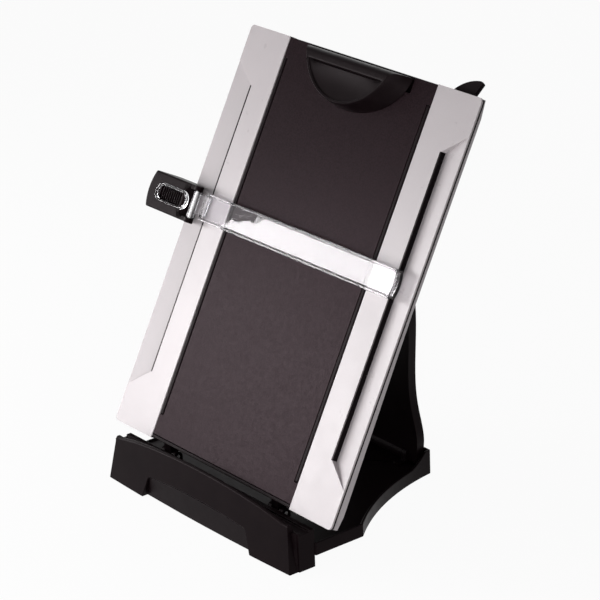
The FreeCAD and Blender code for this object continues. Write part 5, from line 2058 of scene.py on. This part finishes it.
@dataclass(frozen=True)
class Softbox:
    """An area lamp: place, aim and size in metres, power in watts, turn about its beam in degrees."""

    name: str
    place: Colour
    aim: Colour
    size: tuple[float, float]
    power: float
    turn: float = 0.0

    def hang(self) -> None:
        """Put the lamp at its place, turned to its aim."""
        data = bpy.data.lights.new(self.name, "AREA")
        data.shape = "RECTANGLE"
        data.size, data.size_y = self.size
        data.energy = self.power
        lamp = bpy.data.objects.new(self.name, data)
        lamp.location = self.place
        beam = (Vector(self.aim) - Vector(self.place)).to_track_quat("-Z", "Y")
        turned = beam @ Quaternion((0.0, 0.0, 1.0), math.radians(self.turn))
        lamp.rotation_euler = turned.to_euler()
        lamp.visible_camera = False
        bpy.context.scene.collection.objects.link(lamp)


SOFTBOXES = (
    Softbox("Key", (-0.643, -0.549, 0.305), (0.017, 0.023, 0.088), (0.31, 0.325), 3.5, 45.0),
    Softbox("Low", (0.0, -0.40, 0.08), (0.0, 0.03, 0.07), (0.35, 0.20), 0.5),
    Softbox("Right", (0.42, -0.46, 0.05), (0.0, 0.04, 0.09), (0.35, 0.20), 1.8),
    Softbox("Front", (-0.46, -0.79, 0.50), (-0.11, 0.08, 0.15), (0.25, 0.40), 1.6),
    Softbox("Side", (-0.86, -0.17, 0.20), (0.11, 0.08, 0.15), (0.35, 0.35), 1.75),
    Softbox("Overhead", (0.10, -0.10, 1.35), (0.0, 0.05, 0.12), (0.9, 0.6), 0.5),
)


@dataclass
class Studio:
    """Pale floor, soft lamps, white surroundings and the camera at the photograph's angle."""

    target: Colour = (0.052, 0.04427, 0.16516)
    azimuth: float = 51.86
    elevation: float = 22.06
    roll: float = -2.17
    distance: float = 1.820
    focal_pixels: float = 2777.0
    frame_pixels: float = 600.0
    sensor: float = 36.0
    near: float = 0.05
    far: float = 30.0
    fill: float = 0.15
    floor_reach: float = 6.0
    floor_grey: float = 0.86
    floor_shown: float = 0.95

    def build(self) -> None:
        """Set the camera, floor, world and lamps."""
        self.camera()
        self.floor()
        self.world()
        for box in SOFTBOXES:
            box.hang()
        bpy.context.scene.view_settings.view_transform = "Standard"

    def camera(self) -> None:
        """Stand the camera at its distance along the viewing direction and turn it by its roll."""
        angles = (self.azimuth, self.elevation, self.roll)
        azimuth, elevation, roll = (math.radians(angle) for angle in angles)
        back = Vector((
            math.sin(azimuth) * math.cos(elevation),
            -math.cos(azimuth) * math.cos(elevation),
            math.sin(elevation),
        ))
        level = Vector((math.cos(azimuth), math.sin(azimuth), 0.0))
        upward = back.cross(level)
        right = level * math.cos(roll) + upward * math.sin(roll)
        up = upward * math.cos(roll) - level * math.sin(roll)
        data = bpy.data.cameras.new("Photograph")
        data.sensor_width = self.sensor
        data.lens = self.focal_pixels / self.frame_pixels * self.sensor
        data.clip_start = self.near
        data.clip_end = self.far
        camera = bpy.data.objects.new("Photograph", data)
        turn = Matrix((right, up, back)).transposed().to_4x4()
        camera.matrix_world = Matrix.Translation(Vector(self.target) + back * self.distance) @ turn
        bpy.context.scene.collection.objects.link(camera)
        bpy.context.scene.camera = camera

    def shown_white(self, tree: bpy.types.NodeTree, share: float) -> Socket:
        """A factor of share for camera, glossy and transmission rays, and 0 for the light's own.

        Args:
            tree: The node tree it goes into.
            share: The factor where the ray is one of those.

        Returns:
            The factor.
        """
        path = tree.nodes.new("ShaderNodeLightPath")
        value = path.outputs["Is Camera Ray"]
        for name in ("Is Glossy Ray", "Is Transmission Ray"):
            largest = tree.nodes.new("ShaderNodeMath")
            largest.operation = "MAXIMUM"
            tree.links.new(value, largest.inputs[0])
            tree.links.new(path.outputs[name], largest.inputs[1])
            value = largest.outputs[0]
        scaled = tree.nodes.new("ShaderNodeMath")
        scaled.operation = "MULTIPLY"
        scaled.inputs[1].default_value = share
        tree.links.new(value, scaled.inputs[0])
        return scaled.outputs[0]

    def floor(self) -> None:
        """A wide pale floor that shows white and keeps a faint shadow of the object."""
        mesh = bpy.data.meshes.new("studio_floor")
        reach = self.floor_reach
        ring = [(-reach, -reach, 0), (reach, -reach, 0), (reach, reach, 0), (-reach, reach, 0)]
        mesh.from_pydata(ring, [], [(0, 1, 2, 3)])
        floor = bpy.data.objects.new("studio_floor", mesh)
        bpy.context.scene.collection.objects.link(floor)
        material = bpy.data.materials.new("pale floor")
        material.use_nodes = True
        tree = material.node_tree
        tree.nodes.clear()
        matt = tree.nodes.new("ShaderNodeBsdfDiffuse")
        matt.inputs["Color"].default_value = (self.floor_grey,) * 3 + (1.0,)
        white = tree.nodes.new("ShaderNodeEmission")
        mix = tree.nodes.new("ShaderNodeMixShader")
        output = tree.nodes.new("ShaderNodeOutputMaterial")
        tree.links.new(self.shown_white(tree, self.floor_shown), mix.inputs["Fac"])
        tree.links.new(matt.outputs["BSDF"], mix.inputs[1])
        tree.links.new(white.outputs["Emission"], mix.inputs[2])
        tree.links.new(mix.outputs["Shader"], output.inputs["Surface"])
        mesh.materials.append(material)
        floor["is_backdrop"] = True

    def world(self) -> None:
        """Plain surroundings: a soft fill that the camera sees as white."""
        world = bpy.data.worlds.new("Surroundings")
        world.use_nodes = True
        tree = world.node_tree
        background = tree.nodes["Background"]
        background.inputs["Color"].default_value = (1.0, 1.0, 1.0, 1.0)
        strength = tree.nodes.new("ShaderNodeMapRange")
        strength.inputs["To Min"].default_value = self.fill
        strength.inputs["To Max"].default_value = 1.0
        tree.links.new(self.shown_white(tree, 1.0), strength.inputs["Value"])
        tree.links.new(strength.outputs["Result"], background.inputs["Strength"])
        bpy.context.scene.world = world


def corners() -> list[list[float]]:
    """The whole object's lowest and highest corner, as plain numbers."""
    return [[float(value) for value in corner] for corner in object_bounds()]


def main() -> None:
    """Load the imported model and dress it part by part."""
    logging.basicConfig(level=logging.INFO, format="%(name)s: %(message)s")
    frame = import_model()
    Studio().build()
    shop = Workshop(frame["nodes"])
    shop.mix_finishes()
    base = (FrontLedge(), BaseTray(), Drawer())
    panel = (SilverWings(), CopyArea(), MemoClip(), LineGuide(), MemoBoard())
    for assembly in base + panel:
        assembly.build(shop)
        LOG.info("%s is dressed", type(assembly).__name__)
    dress_hardware(shop)


if __name__ == "__main__":
    main()
